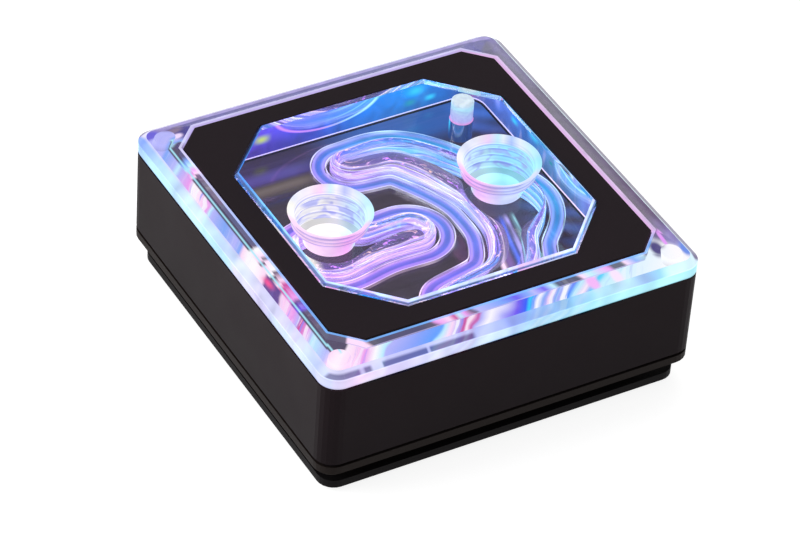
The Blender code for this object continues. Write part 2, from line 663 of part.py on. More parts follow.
def make_frame_adhesive(material):
    """The adhesive film between the face frame and the floor of its recess."""
    outer_half = FRAME_HALF - ADHESIVE_INSET
    outer_cut = FRAME_OUTER_CUT - ADHESIVE_INSET * CUT_GROWTH
    inner_half = WINDOW_HALF + ADHESIVE_INSET
    inner_cut = WINDOW_CUT + ADHESIVE_INSET * CUT_GROWTH
    heights = (ADHESIVE_BASE, ADHESIVE_BASE + ADHESIVE_THICKNESS)
    mesh = bmesh.new()
    add_body(mesh, [octagon_ring(outer_half, outer_cut, z) for z in heights],
             [[octagon_ring(inner_half, inner_cut, z) for z in heights]])
    make_object("frame_adhesive", mesh, material, ADHESIVE_BASE)


def make_housing(material):
    """The square housing: wall, light shelf, corner posts and cable notch."""
    chamfer = HOUSING_EDGE_CHAMFER
    bay_corner = BODY_CORNER_RADIUS - HOUSING_WALL
    shelf_corner = ACRYLIC_CORNER_RADIUS + SIDE_GAP
    mesh = bmesh.new()
    add_loop(mesh, [
        square_ring(BODY_HALF - chamfer, BODY_CORNER_RADIUS - chamfer, HOUSING_BASE),
        square_ring(BODY_HALF, BODY_CORNER_RADIUS, HOUSING_BASE + chamfer),
        square_ring(BODY_HALF, BODY_CORNER_RADIUS, HOUSING_TOP),
        square_ring(BAY_HALF, bay_corner, HOUSING_TOP),
        square_ring(BAY_HALF, bay_corner, SHELF_TOP),
        square_ring(BOARD_INNER_HALF, shelf_corner, SHELF_TOP),
        square_ring(BOARD_INNER_HALF, shelf_corner, SHELF_BASE),
        square_ring(BAY_HALF, bay_corner, SHELF_BASE),
        square_ring(BAY_HALF, bay_corner, HOUSING_BASE)])
    piece = make_object("housing", mesh, material, HOUSING_BASE, ROUND_EDGE)

    posts = bmesh.new()
    for x, y in corner_places(POST_XY):
        add_body(posts, [circle_ring(x, y, POST_RADIUS, HOUSING_BASE + POST_RELIEF),
                         circle_ring(x, y, POST_RADIUS, HOUSING_TOP - POST_RELIEF)])
    apply_tool(piece, "post_join", posts, "UNION")
    drill(piece, "post_screw_cut", corner_places(POST_XY), CORNER_SCREW,
          BAND_BASE, CORNER_SCREW_TIP, countersunk=True)
    drill(piece, "shelf_screw_cut", side_places(BOARD_LINE, BOARD_SCREW_SHIFT), BOARD_SCREW,
          BOARD_SCREW_FACE, BOARD_SCREW_TIP)

    notch = bmesh.new()
    wall_middle = (BAY_HALF + BODY_HALF) / 2
    wall_depth = HOUSING_WALL + 2 * TOOL_OVERRUN
    add_body(notch, [box_ring(0, wall_middle, CABLE_NOTCH_WIDTH, wall_depth, NOTCH_FLOOR),
                     box_ring(0, wall_middle, CABLE_NOTCH_WIDTH, wall_depth,
                              HOUSING_TOP + TOOL_OVERRUN)])
    apply_tool(piece, "notch_cut", notch)


def make_cable_grommet(material):
    """The rubber grommet in the back wall's notch, with its empty cable hole."""
    core_base = NOTCH_FLOOR + SEAT_GAP
    core_top = HOUSING_TOP - GROMMET_TOP_DROP
    core_height = core_top - core_base
    middle = (core_base + core_top) / 2
    core_width = CABLE_NOTCH_WIDTH - 2 * SEAT_GAP
    flange_height = core_height + 2 * GROMMET_TOP_DROP
    flange_width = CABLE_NOTCH_WIDTH + 2 * GROMMET_FLANGE
    flange_outer = BAY_HALF - SEAT_GAP
    flange_inner = flange_outer - GROMMET_FLANGE_THICKNESS
    core = box_ring(0, middle, core_width, core_height, 0)
    flange = box_ring(0, middle, flange_width, flange_height, 0)
    hole = circle_ring(0, middle, CABLE_HOLE_DIAMETER / 2, 0)
    mesh = bmesh.new()
    add_body(mesh, [upright(flange, flange_inner), upright(flange, flange_outer),
                    upright(core, flange_outer), upright(core, BODY_HALF)],
             [[upright(hole, flange_inner), upright(hole, BODY_HALF)]])
    make_object("cable_grommet", mesh, material, core_base)


def make_led_board(material):
    """The square ring of circuit board on the housing's shelf, cut clear of the posts."""
    cut = 2 * (BOARD_OUTER_HALF - POST_XY) + (POST_RADIUS + SIDE_GAP) * math.sqrt(2)
    corner = ACRYLIC_CORNER_RADIUS + SIDE_GAP
    heights = (BOARD_BASE, BOARD_TOP)
    mesh = bmesh.new()
    add_body(mesh, [octagon_ring(BOARD_OUTER_HALF, cut, z) for z in heights],
             [[square_ring(BOARD_INNER_HALF, corner, z) for z in heights]])
    piece = make_object("led_board", mesh, material, BOARD_BASE)
    drill(piece, "board_screw_cut", side_places(BOARD_LINE, BOARD_SCREW_SHIFT), BOARD_SCREW,
          BOARD_SCREW_FACE, BOARD_SCREW_TIP)


def led_places():
    """Place and turn of each light, from one end of each side of the board to the other."""
    first = -(LEDS_PER_SIDE - 1) / 2
    places = []
    for side in range(4):
        turn = side * math.pi / 2
        for index in range(LEDS_PER_SIDE):
            shift = (first + index) * LED_PITCH
            places.append((BOARD_LINE * math.sin(turn) + shift * math.cos(turn),
                           shift * math.sin(turn) - BOARD_LINE * math.cos(turn), turn))
    return places


def make_leds(material):
    """The lights: small moulded blocks with a sunk lens."""
    base = BOARD_TOP + SEAT_GAP
    top = base + LED_HEIGHT
    lens = (LED_LENGTH - 2 * LED_WALL, LED_DEPTH - 2 * LED_WALL)
    mesh = bmesh.new()
    add_body(mesh, [box_ring(0, 0, LED_LENGTH, LED_DEPTH, base),
                    box_ring(0, 0, LED_LENGTH, LED_DEPTH, top),
                    box_ring(0, 0, *lens, top), box_ring(0, 0, *lens, top - LED_WALL)])
    make_copies("led", mesh, material, led_places(), base)


def make_led_header(material):
    """The socket for the lights' cable, open towards the notch, with its row of pins."""
    base = BOARD_TOP + SEAT_GAP
    middle = base + HEADER_HEIGHT / 2
    inner = BOARD_INNER_HALF
    mouth = inner + HEADER_DEPTH
    shell = box_ring(0, middle, HEADER_WIDTH, HEADER_HEIGHT, 0)
    cavity = box_ring(0, middle, HEADER_WIDTH - 2 * HEADER_WALL,
                      HEADER_HEIGHT - 2 * HEADER_WALL, 0)
    mesh = bmesh.new()
    add_body(mesh, [upright(shell, inner), upright(shell, mouth),
                    upright(cavity, mouth), upright(cavity, inner + HEADER_WALL)])
    piece = make_object("led_header", mesh, material, base)

    pins = bmesh.new()
    for index in range(HEADER_PINS):
        x = (index - (HEADER_PINS - 1) / 2) * HEADER_PIN_PITCH
        pin = box_ring(x, middle, HEADER_PIN, HEADER_PIN, 0)
        add_body(pins, [upright(pin, inner + HEADER_WALL / 2), upright(pin, mouth - HEADER_WALL)])
    apply_tool(piece, "pin_join", pins, "UNION")


def make_flow_plate(material):
    """The mirror-finished plate that closes the channels, with its three slots."""
    half = ACRYLIC_HALF - SIDE_GAP
    corner = ACRYLIC_CORNER_RADIUS - SIDE_GAP
    heights = (FLOW_PLATE_BASE, FLOW_PLATE_BASE + FLOW_PLATE_THICKNESS)
    slots = [(COLLECTOR_SLOT_X, COLLECTOR_REACH, COLLECTOR_SLOT_LENGTH),
             (COLLECTOR_SLOT_X, -COLLECTOR_REACH, COLLECTOR_SLOT_LENGTH),
             (INLET_SLOT_X, -INLET_OFFSET, INLET_SLOT_LENGTH)]
    mesh = bmesh.new()
    add_body(mesh, [square_ring(half, corner, z) for z in heights],
             [[slot_ring(x, y, length, FLOW_SLOT_RADIUS, z) for z in heights]
              for x, y, length in slots])
    make_object("flow_plate", mesh, material, FLOW_PLATE_BASE)


def make_jet_plate(material):
    """The thin plate on the fins, whose slot spreads the coolant over them."""
    half_x = FIN_POCKET_HALF_X - SIDE_GAP
    half_y = FIN_LENGTH / 2
    heights = (JET_PLATE_BASE, COLD_PLATE_TOP)
    mesh = bmesh.new()
    add_body(mesh, [rectangle_ring(half_x, half_y, JET_PLATE_CORNER, z) for z in heights],
             [[slot_ring(0, -INLET_OFFSET, JET_SLOT_LENGTH, JET_SLOT_WIDTH / 2, z)
               for z in heights]])
    make_object("jet_plate", mesh, material, JET_PLATE_BASE)


def make_cold_plate(material):
    """The copper cold plate: pedestal, flange, seal groove and skived fins."""
    chamfer = PEDESTAL_CHAMFER
    mesh = bmesh.new()
    add_body(mesh, [
        square_ring(PEDESTAL_HALF - chamfer, PEDESTAL_CORNER_RADIUS - chamfer, 0),
        square_ring(PEDESTAL_HALF, PEDESTAL_CORNER_RADIUS, chamfer),
        square_ring(PEDESTAL_HALF, PEDESTAL_CORNER_RADIUS, COLD_FLANGE_BASE),
        square_ring(COLD_PLATE_HALF, COLD_PLATE_CORNER_RADIUS, COLD_FLANGE_BASE),
        square_ring(COLD_PLATE_HALF, COLD_PLATE_CORNER_RADIUS, COLD_PLATE_TOP)])
    piece = make_object("cold_plate", mesh, material, 0, ROUND_EDGE)

    pocket = bmesh.new()
    above = COLD_PLATE_TOP + TOOL_OVERRUN
    pocket_size = (FIN_POCKET_HALF_X, FIN_POCKET_HALF_Y, FIN_POCKET_CORNER)
    add_body(pocket, [rectangle_ring(*pocket_size, FIN_TOP), rectangle_ring(*pocket_size, above)])
    groove = (COLD_PLATE_TOP - PLATE_GROOVE_DEPTH, above)
    add_body(pocket, [plate_groove_ring(PLATE_GROOVE_OUTER, z) for z in groove],
             [[plate_groove_ring(PLATE_GROOVE_INNER, z) for z in groove]])
    apply_tool(piece, "pocket_cut", pocket)

    gaps = bmesh.new()
    heights = (FIN_FLOOR, FIN_TOP + SEAT_GAP / 2)
    count = round(FIN_FIELD_WIDTH / FIN_PITCH)
    fins = []
    for index in range(count):
        x = (index - (count - 1) / 2) * FIN_PITCH
        fins.append([box_ring(x, 0, FIN_THICKNESS, FIN_LENGTH, z) for z in heights])
    add_body(gaps, [rectangle_ring(*pocket_size, z) for z in heights], fins)
    apply_tool(piece, "fin_cut", gaps)


def plate_groove_ring(half, z):
    """Points round one edge of the seal groove in the cold plate."""
    return square_ring(half, half - PLATE_GROOVE_INNER + PLATE_GROOVE_CORNER, z)


def make_plate_seal(material):
    """The ring seal between the cold plate and the flow plate."""
    inner = PLATE_GROOVE_INNER + SEAT_GAP
    outer = PLATE_GROOVE_OUTER - SEAT_GAP
    base = COLD_PLATE_TOP - PLATE_GROOVE_DEPTH + SEAT_GAP
    top = COLD_PLATE_TOP
    bevel = PLATE_SEAL_BEVEL
    mesh = bmesh.new()
    add_loop(mesh, [
        plate_groove_ring(inner + bevel, base), plate_groove_ring(outer - bevel, base),
        plate_groove_ring(outer, base + bevel), plate_groove_ring(outer, top - bevel),
        plate_groove_ring(outer - bevel, top), plate_groove_ring(inner + bevel, top),
        plate_groove_ring(inner, top - bevel), plate_groove_ring(inner, base + bevel)])
    make_object("plate_seal", mesh, material, base, ROUND_EDGE)


def make_base_frame(material):
    """The band under the housing, with the pan that carries the cold plate's flange."""
    chamfer = BAND_EDGE_CHAMFER
    pocket_corner = COLD_PLATE_CORNER_RADIUS + SIDE_GAP
    mouth_half = PEDESTAL_HALF + SIDE_GAP
    mouth_corner = PEDESTAL_CORNER_RADIUS + SIDE_GAP
    mesh = bmesh.new()
    add_loop(mesh, [
        square_ring(PAN_HALF, PAN_CORNER_RADIUS, PAN_BASE),
        square_ring(PAN_HALF, PAN_CORNER_RADIUS, BAND_BASE),
        square_ring(BODY_HALF - chamfer, BODY_CORNER_RADIUS - chamfer, BAND_BASE),
        square_ring(BODY_HALF, BODY_CORNER_RADIUS, BAND_BASE + chamfer),
        square_ring(BODY_HALF, BODY_CORNER_RADIUS, BAND_TOP),
        square_ring(PAN_POCKET_HALF, pocket_corner, BAND_TOP),
        square_ring(PAN_POCKET_HALF, pocket_corner, PAN_FLOOR_TOP),
        square_ring(mouth_half, mouth_corner, PAN_FLOOR_TOP),
        square_ring(mouth_half, mouth_corner, PAN_BASE)])
    piece = make_object("base_frame", mesh, material, PAN_BASE, ROUND_EDGE)
    drill(piece, "band_screw_cut", corner_places(POST_XY), CORNER_SCREW,
          BAND_BASE, CORNER_SCREW_TIP, countersunk=True)
    drill(piece, "pan_screw_cut", corner_places(PLATE_SCREW_XY), PLATE_SCREW,
          CONTACT_STAND_OFF, PLATE_SCREW_TIP, countersunk=True)


def make_mounting_plate(material):
    """The thin plate below the bracket slot, open round the cold plate's pedestal."""
    mouth_half = PEDESTAL_HALF + SIDE_GAP
    mouth_corner = PEDESTAL_CORNER_RADIUS + SIDE_GAP
    heights = (CONTACT_STAND_OFF, MOUNTING_PLATE_TOP)
    mesh = bmesh.new()
    add_body(mesh, [square_ring(MOUNTING_PLATE_HALF, MOUNTING_PLATE_CORNER_RADIUS, z)
                    for z in heights],
             [[square_ring(mouth_half, mouth_corner, z) for z in heights]])
    piece = make_object("mounting_plate", mesh, material, CONTACT_STAND_OFF, ROUND_EDGE)
    drill(piece, "plate_screw_cut", corner_places(PLATE_SCREW_XY), PLATE_SCREW,
          CONTACT_STAND_OFF, PLATE_SCREW_TIP, countersunk=True)


def make_fasteners(material):
    """The three sets of screws."""
    make_screws("corner_screw", corner_places(POST_XY), CORNER_SCREW,
                BAND_BASE, CORNER_SCREW_TIP, material, countersunk=True)
    make_screws("plate_screw", corner_places(PLATE_SCREW_XY), PLATE_SCREW,
                CONTACT_STAND_OFF, PLATE_SCREW_TIP, material, countersunk=True)
    make_screws("board_screw", side_places(BOARD_LINE, BOARD_SCREW_SHIFT), BOARD_SCREW,
                BOARD_SCREW_FACE, BOARD_SCREW_TIP, material)


def main():
    for old in list(bpy.data.objects):
        bpy.data.objects.remove(old, do_unlink=True)
    clear = make_material("clear_acrylic", (0.70, 0.74, 0.98), 0.08, alpha=0.45)
    black = make_material("black_anodised", (0.025, 0.022, 0.024), 0.5, metallic=0.4)
    black_paint = make_material("black_paint", (0.018, 0.017, 0.018), 0.6)
    nickel = make_material("nickel_plate", (0.62, 0.60, 0.57), 0.22, metallic=1.0)
    mirror = make_material("mirror_steel", (0.32, 0.29, 0.34), 0.12, metallic=1.0)
    steel = make_material("screw_steel", (0.10, 0.10, 0.10), 0.35, metallic=1.0)
    silicone = make_material("lit_silicone", (0.42, 0.45, 0.92), 0.4)
    rubber = make_material("black_rubber", (0.02, 0.02, 0.02), 0.8)
    film = make_material("adhesive_film", (0.12, 0.12, 0.13), 0.7)
    board = make_material("white_board", (0.80, 0.80, 0.82), 0.5)
    lens = make_material("led_body", (0.90, 0.92, 0.85), 0.3)
    plastic = make_material("header_plastic", (0.75, 0.72, 0.64), 0.5)

    root = bpy.data.objects.new("water_block", None)
    bpy.context.scene.collection.objects.link(root)
    make_clear_top(clear)
    make_face_frame(black)
    make_frame_adhesive(film)
    make_housing(black)
    make_base_frame(black)
    make_mounting_plate(black_paint)
    make_cold_plate(nickel)
    make_plate_seal(rubber)
    make_jet_plate(steel)
    make_flow_plate(mirror)
    make_gasket("outlet_gasket", collector_path(), COLLECTOR_STEPS, silicone)
    make_gasket("inlet_gasket", inlet_path(), INLET_STEPS, silicone)
    make_led_board(board)
    make_leds(lens)
    make_led_header(plastic)
    make_cable_grommet(rubber)
    make_fasteners(steel)
    for piece in bpy.context.scene.objects:
        if piece != root:
            piece.parent = root


main()
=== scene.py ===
"""Looks of the CPU water block: the clear lit top, its black housing and the studio round it.

The block stands on its contact face at z = 0, centred on the z axis, with its front
towards -Y. Each new piece is a closed surface gathered from patches that are worked out
with numpy. Light inside the clear top is painted on its milled walls as a glow whose
colour runs from pink at the front left to cyan at the back right.
"""

import math
from itertools import product

import bmesh
import bpy
import numpy as np
from mathutils import Matrix, Vector
from mathutils.geometry import tessellate_polygon


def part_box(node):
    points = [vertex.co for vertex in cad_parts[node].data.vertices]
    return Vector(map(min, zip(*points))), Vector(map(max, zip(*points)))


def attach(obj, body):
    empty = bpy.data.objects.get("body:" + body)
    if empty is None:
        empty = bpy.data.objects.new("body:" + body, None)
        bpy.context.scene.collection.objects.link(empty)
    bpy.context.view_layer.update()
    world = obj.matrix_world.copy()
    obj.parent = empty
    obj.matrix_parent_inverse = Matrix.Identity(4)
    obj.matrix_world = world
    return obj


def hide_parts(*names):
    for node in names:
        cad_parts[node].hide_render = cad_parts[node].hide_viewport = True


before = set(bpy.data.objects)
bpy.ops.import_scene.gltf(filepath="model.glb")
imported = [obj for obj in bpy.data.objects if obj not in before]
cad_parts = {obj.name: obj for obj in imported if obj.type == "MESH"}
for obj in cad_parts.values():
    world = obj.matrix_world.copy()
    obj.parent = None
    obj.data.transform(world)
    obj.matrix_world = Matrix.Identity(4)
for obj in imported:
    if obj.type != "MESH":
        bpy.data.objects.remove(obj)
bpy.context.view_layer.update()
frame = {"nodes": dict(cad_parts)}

MM = 0.001

# Clearances, as in the solids
SEAT_GAP = 0.3 * MM
SIDE_GAP = 0.4 * MM

# Heights and half widths read from the solids
TOP_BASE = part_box("acrylic_top")[0].z
ISLAND_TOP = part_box("acrylic_top")[1].z
RIM_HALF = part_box("acrylic_top")[1].x
RIM_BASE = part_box("housing")[1].z + SEAT_GAP
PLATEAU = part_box("face_frame")[1].z
FRAME_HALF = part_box("face_frame")[1].x
RECESS_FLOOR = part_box("frame_adhesive")[0].z - SEAT_GAP
BODY_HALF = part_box("flow_plate")[1].x + SIDE_GAP
SCREW_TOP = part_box("corner_screw_1")[1].z
SCREW_X = (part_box("corner_screw_1")[0].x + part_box("corner_screw_1")[1].x) / 2

# Clear top
PORT_X = 16.2 * MM
PORT_RIM_RADIUS = 7.25 * MM
THREAD_CREST_RADIUS = 5.9 * MM
THREAD_ROOT_RADIUS = 6.56 * MM
THREAD_PITCH = 1.337 * MM
THREAD_DEPTH = 6.2 * MM
THREAD_FULLNESS = 0.8
BORE_RADIUS = 4.4 * MM
CHANNEL_DEPTH = 6.0 * MM
CHANNEL_ARCH = 3.4 * MM
GROOVE_WALL = 0.6 * MM
GROOVE_WIDTH = 2.8 * MM
GROOVE_DEPTH = 1.2 * MM
GASKET_CLEARANCE = 0.3 * MM
GASKET_ROUND = 0.25 * MM
EDGE_CHAMFER = 0.14 * MM
BODY_CORNER = 4.0 * MM
RIM_CORNER = 3.4 * MM
RIM_SIDE_HEIGHT = 1.95 * MM
STEEP_BEVEL = (1.4 * MM, 1.0 * MM)
MAIN_BEVEL_RUN = 2.95 * MM
LEDGE_WIDTH = 0.45 * MM
FRAME_BAR = 4.2 * MM
FRAME_CUT = 4.3 * MM
WINDOW_CUT = 10.25 * MM
TAPPED_HOLE = (19.766 * MM, 18.566 * MM)
TAPPED_RADIUS = 2.0 * MM
TAPPED_COVER = 2.2 * MM
TAPPED_DEPTH = 8.5 * MM
TAPPED_PITCH = 0.7 * MM
TAPPED_THREAD = 0.22 * MM
TAPPED_CLEARANCE = 0.1 * MM
TAPPED_BEVEL = 0.8 * MM
SCREW_HOLE_RADIUS = 1.85 * MM

# Middle lines of the channels in millimetres: x, y, half width and fillet of the ceiling
OUTLET_NODES = [
    (-2.2, 18.2, 3.5, 3.4), (5.2, 17.6, 4.1, 3.4), (9.6, 13.2, 4.6, 3.4), (14.0, 5.0, 5.0, 2.6),
    (16.9, -1.6, 6.8, 0.4), (13.6, -10.0, 4.4, 2.8), (8.4, -18.1, 4.4, 3.4),
    (-2.2, -20.2, 3.5, 3.4)]
INLET_NODES = [(-16.2, -0.8, 6.8, 1.4), (-8.9, -1.9, 4.4, 2.4), (-1.6, -1.9, 4.4, 3.4)]

# How far an outer 45 degree corner cut grows when its octagon moves out by one unit
CUT_GROWTH = 2 - math.sqrt(2)

# Fineness
CORNER_STEPS = 16
CIRCLE_STEPS = 96
THREAD_ROWS = 90
FILLET_ROWS = 12
GROOVE_ROWS = 7
OUTLET_STEPS = 200
INLET_STEPS = 110
OUTLET_SPAN_STEPS = 24
INLET_SPAN_STEPS = 30
CAP_STEPS = 33
BORE_ROWS = 12
PORT_ARC_ROWS = 8
TAPPED_ARC_ROWS = 6
GASKET_ARC_ROWS = 5
OUTLINE_TOLERANCE = 0.002 * MM
WELD = 0.001 * MM

# The photo's camera: turn, height and roll in degrees, distance and shifts in millimetres
VIEW_ANGLES = (-31.746, 39.606, 4.32)
VIEW_DISTANCE = 670.25 * MM
VIEW_SHIFT = (2.615 * MM, 13.1 * MM)
VIEW_LENS = 180.12
VIEW_SENSOR = 36.0
VIEW_CLIP = 0.01

# The studio's floor, and its lamps: name, place and size in metres, and power in watts
FLOOR_REACH = 3.0
FLOOR_DROP = -0.05 * MM
LAMPS = [
    ("key", (-0.65, 0.22, 0.42), 0.5, 3.4), ("fill", (0.5, -0.6, 0.5), 0.6, 0.25),
    ("top", (0.1, 0.3, 0.8), 0.6, 2.0)]

# In the paint, all lengths are millimetres on the object. These are the half widths of
# rim and body, the top of the window, and the height where the rim's upright side ends
RIM = RIM_HALF / MM
BODY = BODY_HALF / MM
CROWN = ISLAND_TOP / MM
RIM_SEAM = (RIM_BASE + RIM_SIDE_HEIGHT) / MM

# Directions on the ground: to the front left, where the warm light falls from, and across it
NEAR = (-0.526, -0.851)
ACROSS = (0.85, -0.526)


class Socket:
    """A shader socket whose arithmetic adds Math nodes, so that a pattern reads as a sum."""

    def __init__(self, paint, link):
        self.paint = paint
        self.link = link

    def maths(self, operation, *others):
        return self.paint.node("Math", {"operation": operation}, [self, *others])

    def __add__(self, other):
        return self.maths("ADD", other)

    def __mul__(self, other):
        return self.maths("MULTIPLY", other)

    def __sub__(self, other):
        return self.maths("SUBTRACT", other)

    def __rsub__(self, other):
        return self.paint.node("Math", {"operation": "SUBTRACT"}, [other, self])

    def __truediv__(self, other):
        return self.maths("DIVIDE", other)

    def __pow__(self, other):
        return self.maths("POWER", other)

    __radd__ = __add__
    __rmul__ = __mul__

    def ramp_up(self, low, high):
        """0 below low and 1 above high, with a smooth step between; falls where high < low."""
        return self.paint.node(
            "MapRange", {"interpolation_type": "SMOOTHSTEP"},
            {"Value": self, "From Min": low, "From Max": high})

    def hill(self, centre, width):
        """1 at the centre and 0 from width away on both sides."""
        return (self - centre).maths("ABSOLUTE").ramp_up(width, 0.0)

    def wave(self, length):
        """A sine between 0 and 1 of the given wave length."""
        return (self * (2 * math.pi / length)).maths("SINE") * 0.5 + 0.5


class Paint:
    """A material's node tree round one Principled shader."""

    def __init__(self, name, colour=(0.8, 0.8, 0.8), **values):
        self.material = bpy.data.materials.new(name)
        self.material.use_nodes = True
        self.tree = self.material.node_tree
        self.shader = self.tree.nodes["Principled BSDF"]
        self.set("Base Color", colour)
        for title, value in values.items():
            self.set(title.replace("_", " ").title().replace("Ior", "IOR"), value)

    def plug(self, socket, value):
        """Links a Socket, or writes a number, vector or colour on the socket itself."""
        if isinstance(value, Socket):
            self.tree.links.new(value.link, socket)
        elif socket.type == "RGBA" and len(value) == 3:
            socket.default_value = (*value, 1.0)
        else:
            socket.default_value = value

    def set(self, title, value):
        self.plug(self.shader.inputs[title], value)

    def node(self, kind, settings=None, inputs=(), output=0):
        """Any node: its type, its settings, then the values or links of its sockets."""
        made = self.tree.nodes.new("ShaderNode" + kind)
        for title, value in (settings or {}).items():
            if title == "stops":
                while len(made.color_ramp.elements) < len(value):
                    made.color_ramp.elements.new(0.5)
                for element, (place, colour) in zip(made.color_ramp.elements, value):
                    element.position = place
                    element.color = (*colour, 1.0)
            else:
                setattr(made, title, value)
        pairs = inputs.items() if isinstance(inputs, dict) else enumerate(inputs)
        for key, value in pairs:
            self.plug(made.inputs[key], value)
        return Socket(self, made.outputs[output])

    def place(self):
        """x, y and z of the point on the object, in millimetres."""
        point = self.node("TexCoord", output="Object")
        point = self.node("VectorMath", {"operation": "SCALE"}, {"Vector": point, "Scale": 1 / MM})
        return [self.node("SeparateXYZ", inputs=[point], output=axis) for axis in range(3)]

    def along(self):
        """The surface's own coordinates: u across its profile and v along it, in millimetres."""
        point = self.node("UVMap", {"uv_map": "surface"})
        return [self.node("SeparateXYZ", inputs=[point], output=axis) for axis in range(2)]

    def noise(self, x, y, z, scale=1.0, detail=1.0, swirl=0.0):
        vector = self.node("CombineXYZ", inputs=[x, y, z])
        return self.node("TexNoise", inputs={
            "Vector": vector, "Scale": scale, "Detail": detail, "Distortion": swirl})

    def liquid(self, x, y, z, scale, swirl=1.0):
        """A smooth warped noise, like light through poured glass."""
        return self.noise(x, y, z, scale, 0.5, swirl)

    def ramp(self, value, stops):
        return self.node("ValToRGB", {"stops": stops}, [value])

    def side_ramp(self, along, stops):
        """Colours placed by millimetres along one side of the block."""
        return self.ramp((along + RIM) / (2 * RIM), [
            ((place + RIM) / (2 * RIM), colour) for place, colour in stops])

    def mix(self, share, first, second, blend="MIX"):
        """The two colours mixed by share, or blended another way."""
        made = self.node("Mix", {"data_type": "RGBA", "blend_type": blend}, output=2)
        for index, value in zip((0, 6, 7), (share, first, second)):
            self.plug(made.link.node.inputs[index], value)
        return made

    def tint(self, colour, share):
        """The colour times a number."""
        return self.node("VectorMath", {"operation": "SCALE"}, {"Vector": colour, "Scale": share})

    def sum(self, *colours):
        """The colours added up."""
        total = colours[0]
        for colour in colours[1:]:
            total = self.node("VectorMath", {"operation": "ADD"}, [total, colour])
        return total

    def lit(self, light):
        """The finished material, with this light as its glow."""
        self.set("Emission Color", light)
        self.set("Emission Strength", 1.0)
        return self.material


class Room(Paint):
    """The world's node tree round its background."""

    def __init__(self, name):
        self.material = bpy.data.worlds.new(name)
        self.material.use_nodes = True
        self.tree = self.material.node_tree
        self.shader = self.tree.nodes["Background"]
        self.set("Color", (1.0, 1.0, 1.0))


class Skin:
    """A closed surface gathered patch by patch, each smooth inside and sharp at its border."""

    def __init__(self, materials):
        self.materials = materials
        self.points = []
        self.faces = []
        self.slots = []
        self.patches = []
        self.uvs = []
        self.count = 0

    def add(self, points, faces, kind, uv=None):
        """Adds a patch: its points, its faces as rows of indices, its material and its uv."""
        points = np.asarray(points, float).reshape(-1, 3)
        uv = points[:, :2] / MM if uv is None else np.asarray(uv, float).reshape(-1, 2)
        patch = len(self.points)
        self.points.append(points)
        for face in np.asarray(faces).tolist():
            self.faces.append([index + self.count for index in face])
            self.slots.append(list(self.materials).index(kind))
            self.patches.append(patch)
            self.uvs.extend(uv[face].tolist())
        self.count += len(points)

    def grid(self, kind, points, uv=None):
        """A patch of quads between the rows and columns of a grid of points."""
        rows, columns = points.shape[:2]
        index = np.arange(rows * columns).reshape(rows, columns)
        quads = np.stack((index[:-1, :-1], index[:-1, 1:], index[1:, 1:], index[1:, :-1]), -1)
        self.add(points, quads.reshape(-1, 4), kind, uv)

    def rings(self, rings, kind):
        """One patch for each step between closed rings of equal length."""
        for lower, upper in zip(rings, rings[1:]):
            self.grid(kind, closed(np.stack((lower, upper))))

    def fill(self, loops, kind):
        """A flat patch between an outer loop and the loops inside it."""
        points = np.concatenate(loops)
        corners = [[Vector(point) for point in loop] for loop in loops]
        self.add(points, tessellate_polygon(corners), kind)

    def make(self, name, node):
        """Closes the seams between patches and makes the piece, in place of its node."""
        mesh = bpy.data.meshes.new(name)
        mesh.from_pydata(np.concatenate(self.points), [], self.faces)
        for material in self.materials.values():
            mesh.materials.append(material)
        mesh.polygons.foreach_set("material_index", self.slots)
        mesh.uv_layers.new(name="surface").data.foreach_set("uv", np.ravel(self.uvs))
        mesh.attributes.new("patch", "INT", "FACE").data.foreach_set("value", self.patches)
        shape = bmesh.new()
        shape.from_mesh(mesh)
        bmesh.ops.remove_doubles(shape, verts=shape.verts, dist=WELD)
        bmesh.ops.recalc_face_normals(shape, faces=shape.faces)
        key = shape.faces.layers.int["patch"]
        for face in shape.faces:
            face.smooth = True
        for edge in shape.edges:
            edge.smooth = len({face[key] for face in edge.link_faces}) == 1
        shape.faces.layers.int.remove(key)
        shape.to_mesh(mesh)
        shape.free()
        piece = bpy.data.objects.new(name, mesh)
        bpy.context.scene.collection.objects.link(piece)
        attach(piece, "root")
        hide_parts(node)


def closed(points):
    """The grid with its first column repeated at its end."""
    return np.concatenate((points, points[:, :1]), axis=1)


def square(half, corner, z, straight=False):
    """Points round a square: its corners are arcs, or straight 45 degree cuts."""
    share = np.linspace(0, 1, CORNER_STEPS + 1)
    if straight:
        x, y = half - corner * share, half - corner * (1 - share)
    else:
        x = half - corner * (1 - np.cos(share * math.pi / 2))
        y = half - corner * (1 - np.sin(share * math.pi / 2))
    turns = np.repeat(np.arange(4) * math.pi / 2, CORNER_STEPS + 1)
    x, y = np.tile(x, 4), np.tile(y, 4)
    cos, sin = np.cos(turns), np.sin(turns)
    return np.stack((x * cos - y * sin, x * sin + y * cos, np.full(len(x), z)), -1)


def octagon(half, cut, z):
    return square(half, cut, z, straight=True)


def circle(x, y, radius, z, steps=CIRCLE_STEPS):
    """Points round a circle, the first towards +X."""
    angle = np.arange(steps) * 2 * math.pi / steps
    return np.stack(
        (x + radius * np.cos(angle), y + radius * np.sin(angle), np.full(steps, z)), -1)


def run(points):
    """How far each point of a line lies along it."""
    return np.r_[0, np.cumsum(np.linalg.norm(np.diff(points, axis=0), axis=1))]


def laid_out(across, along):
    """The uv of a grid, in millimetres across its profile and along it."""
    return np.stack(np.meshgrid(across, along, indexing="ij"), -1) / MM


def column(*values):
    """One value for each row of a grid."""
    return np.array(values)[:, None]


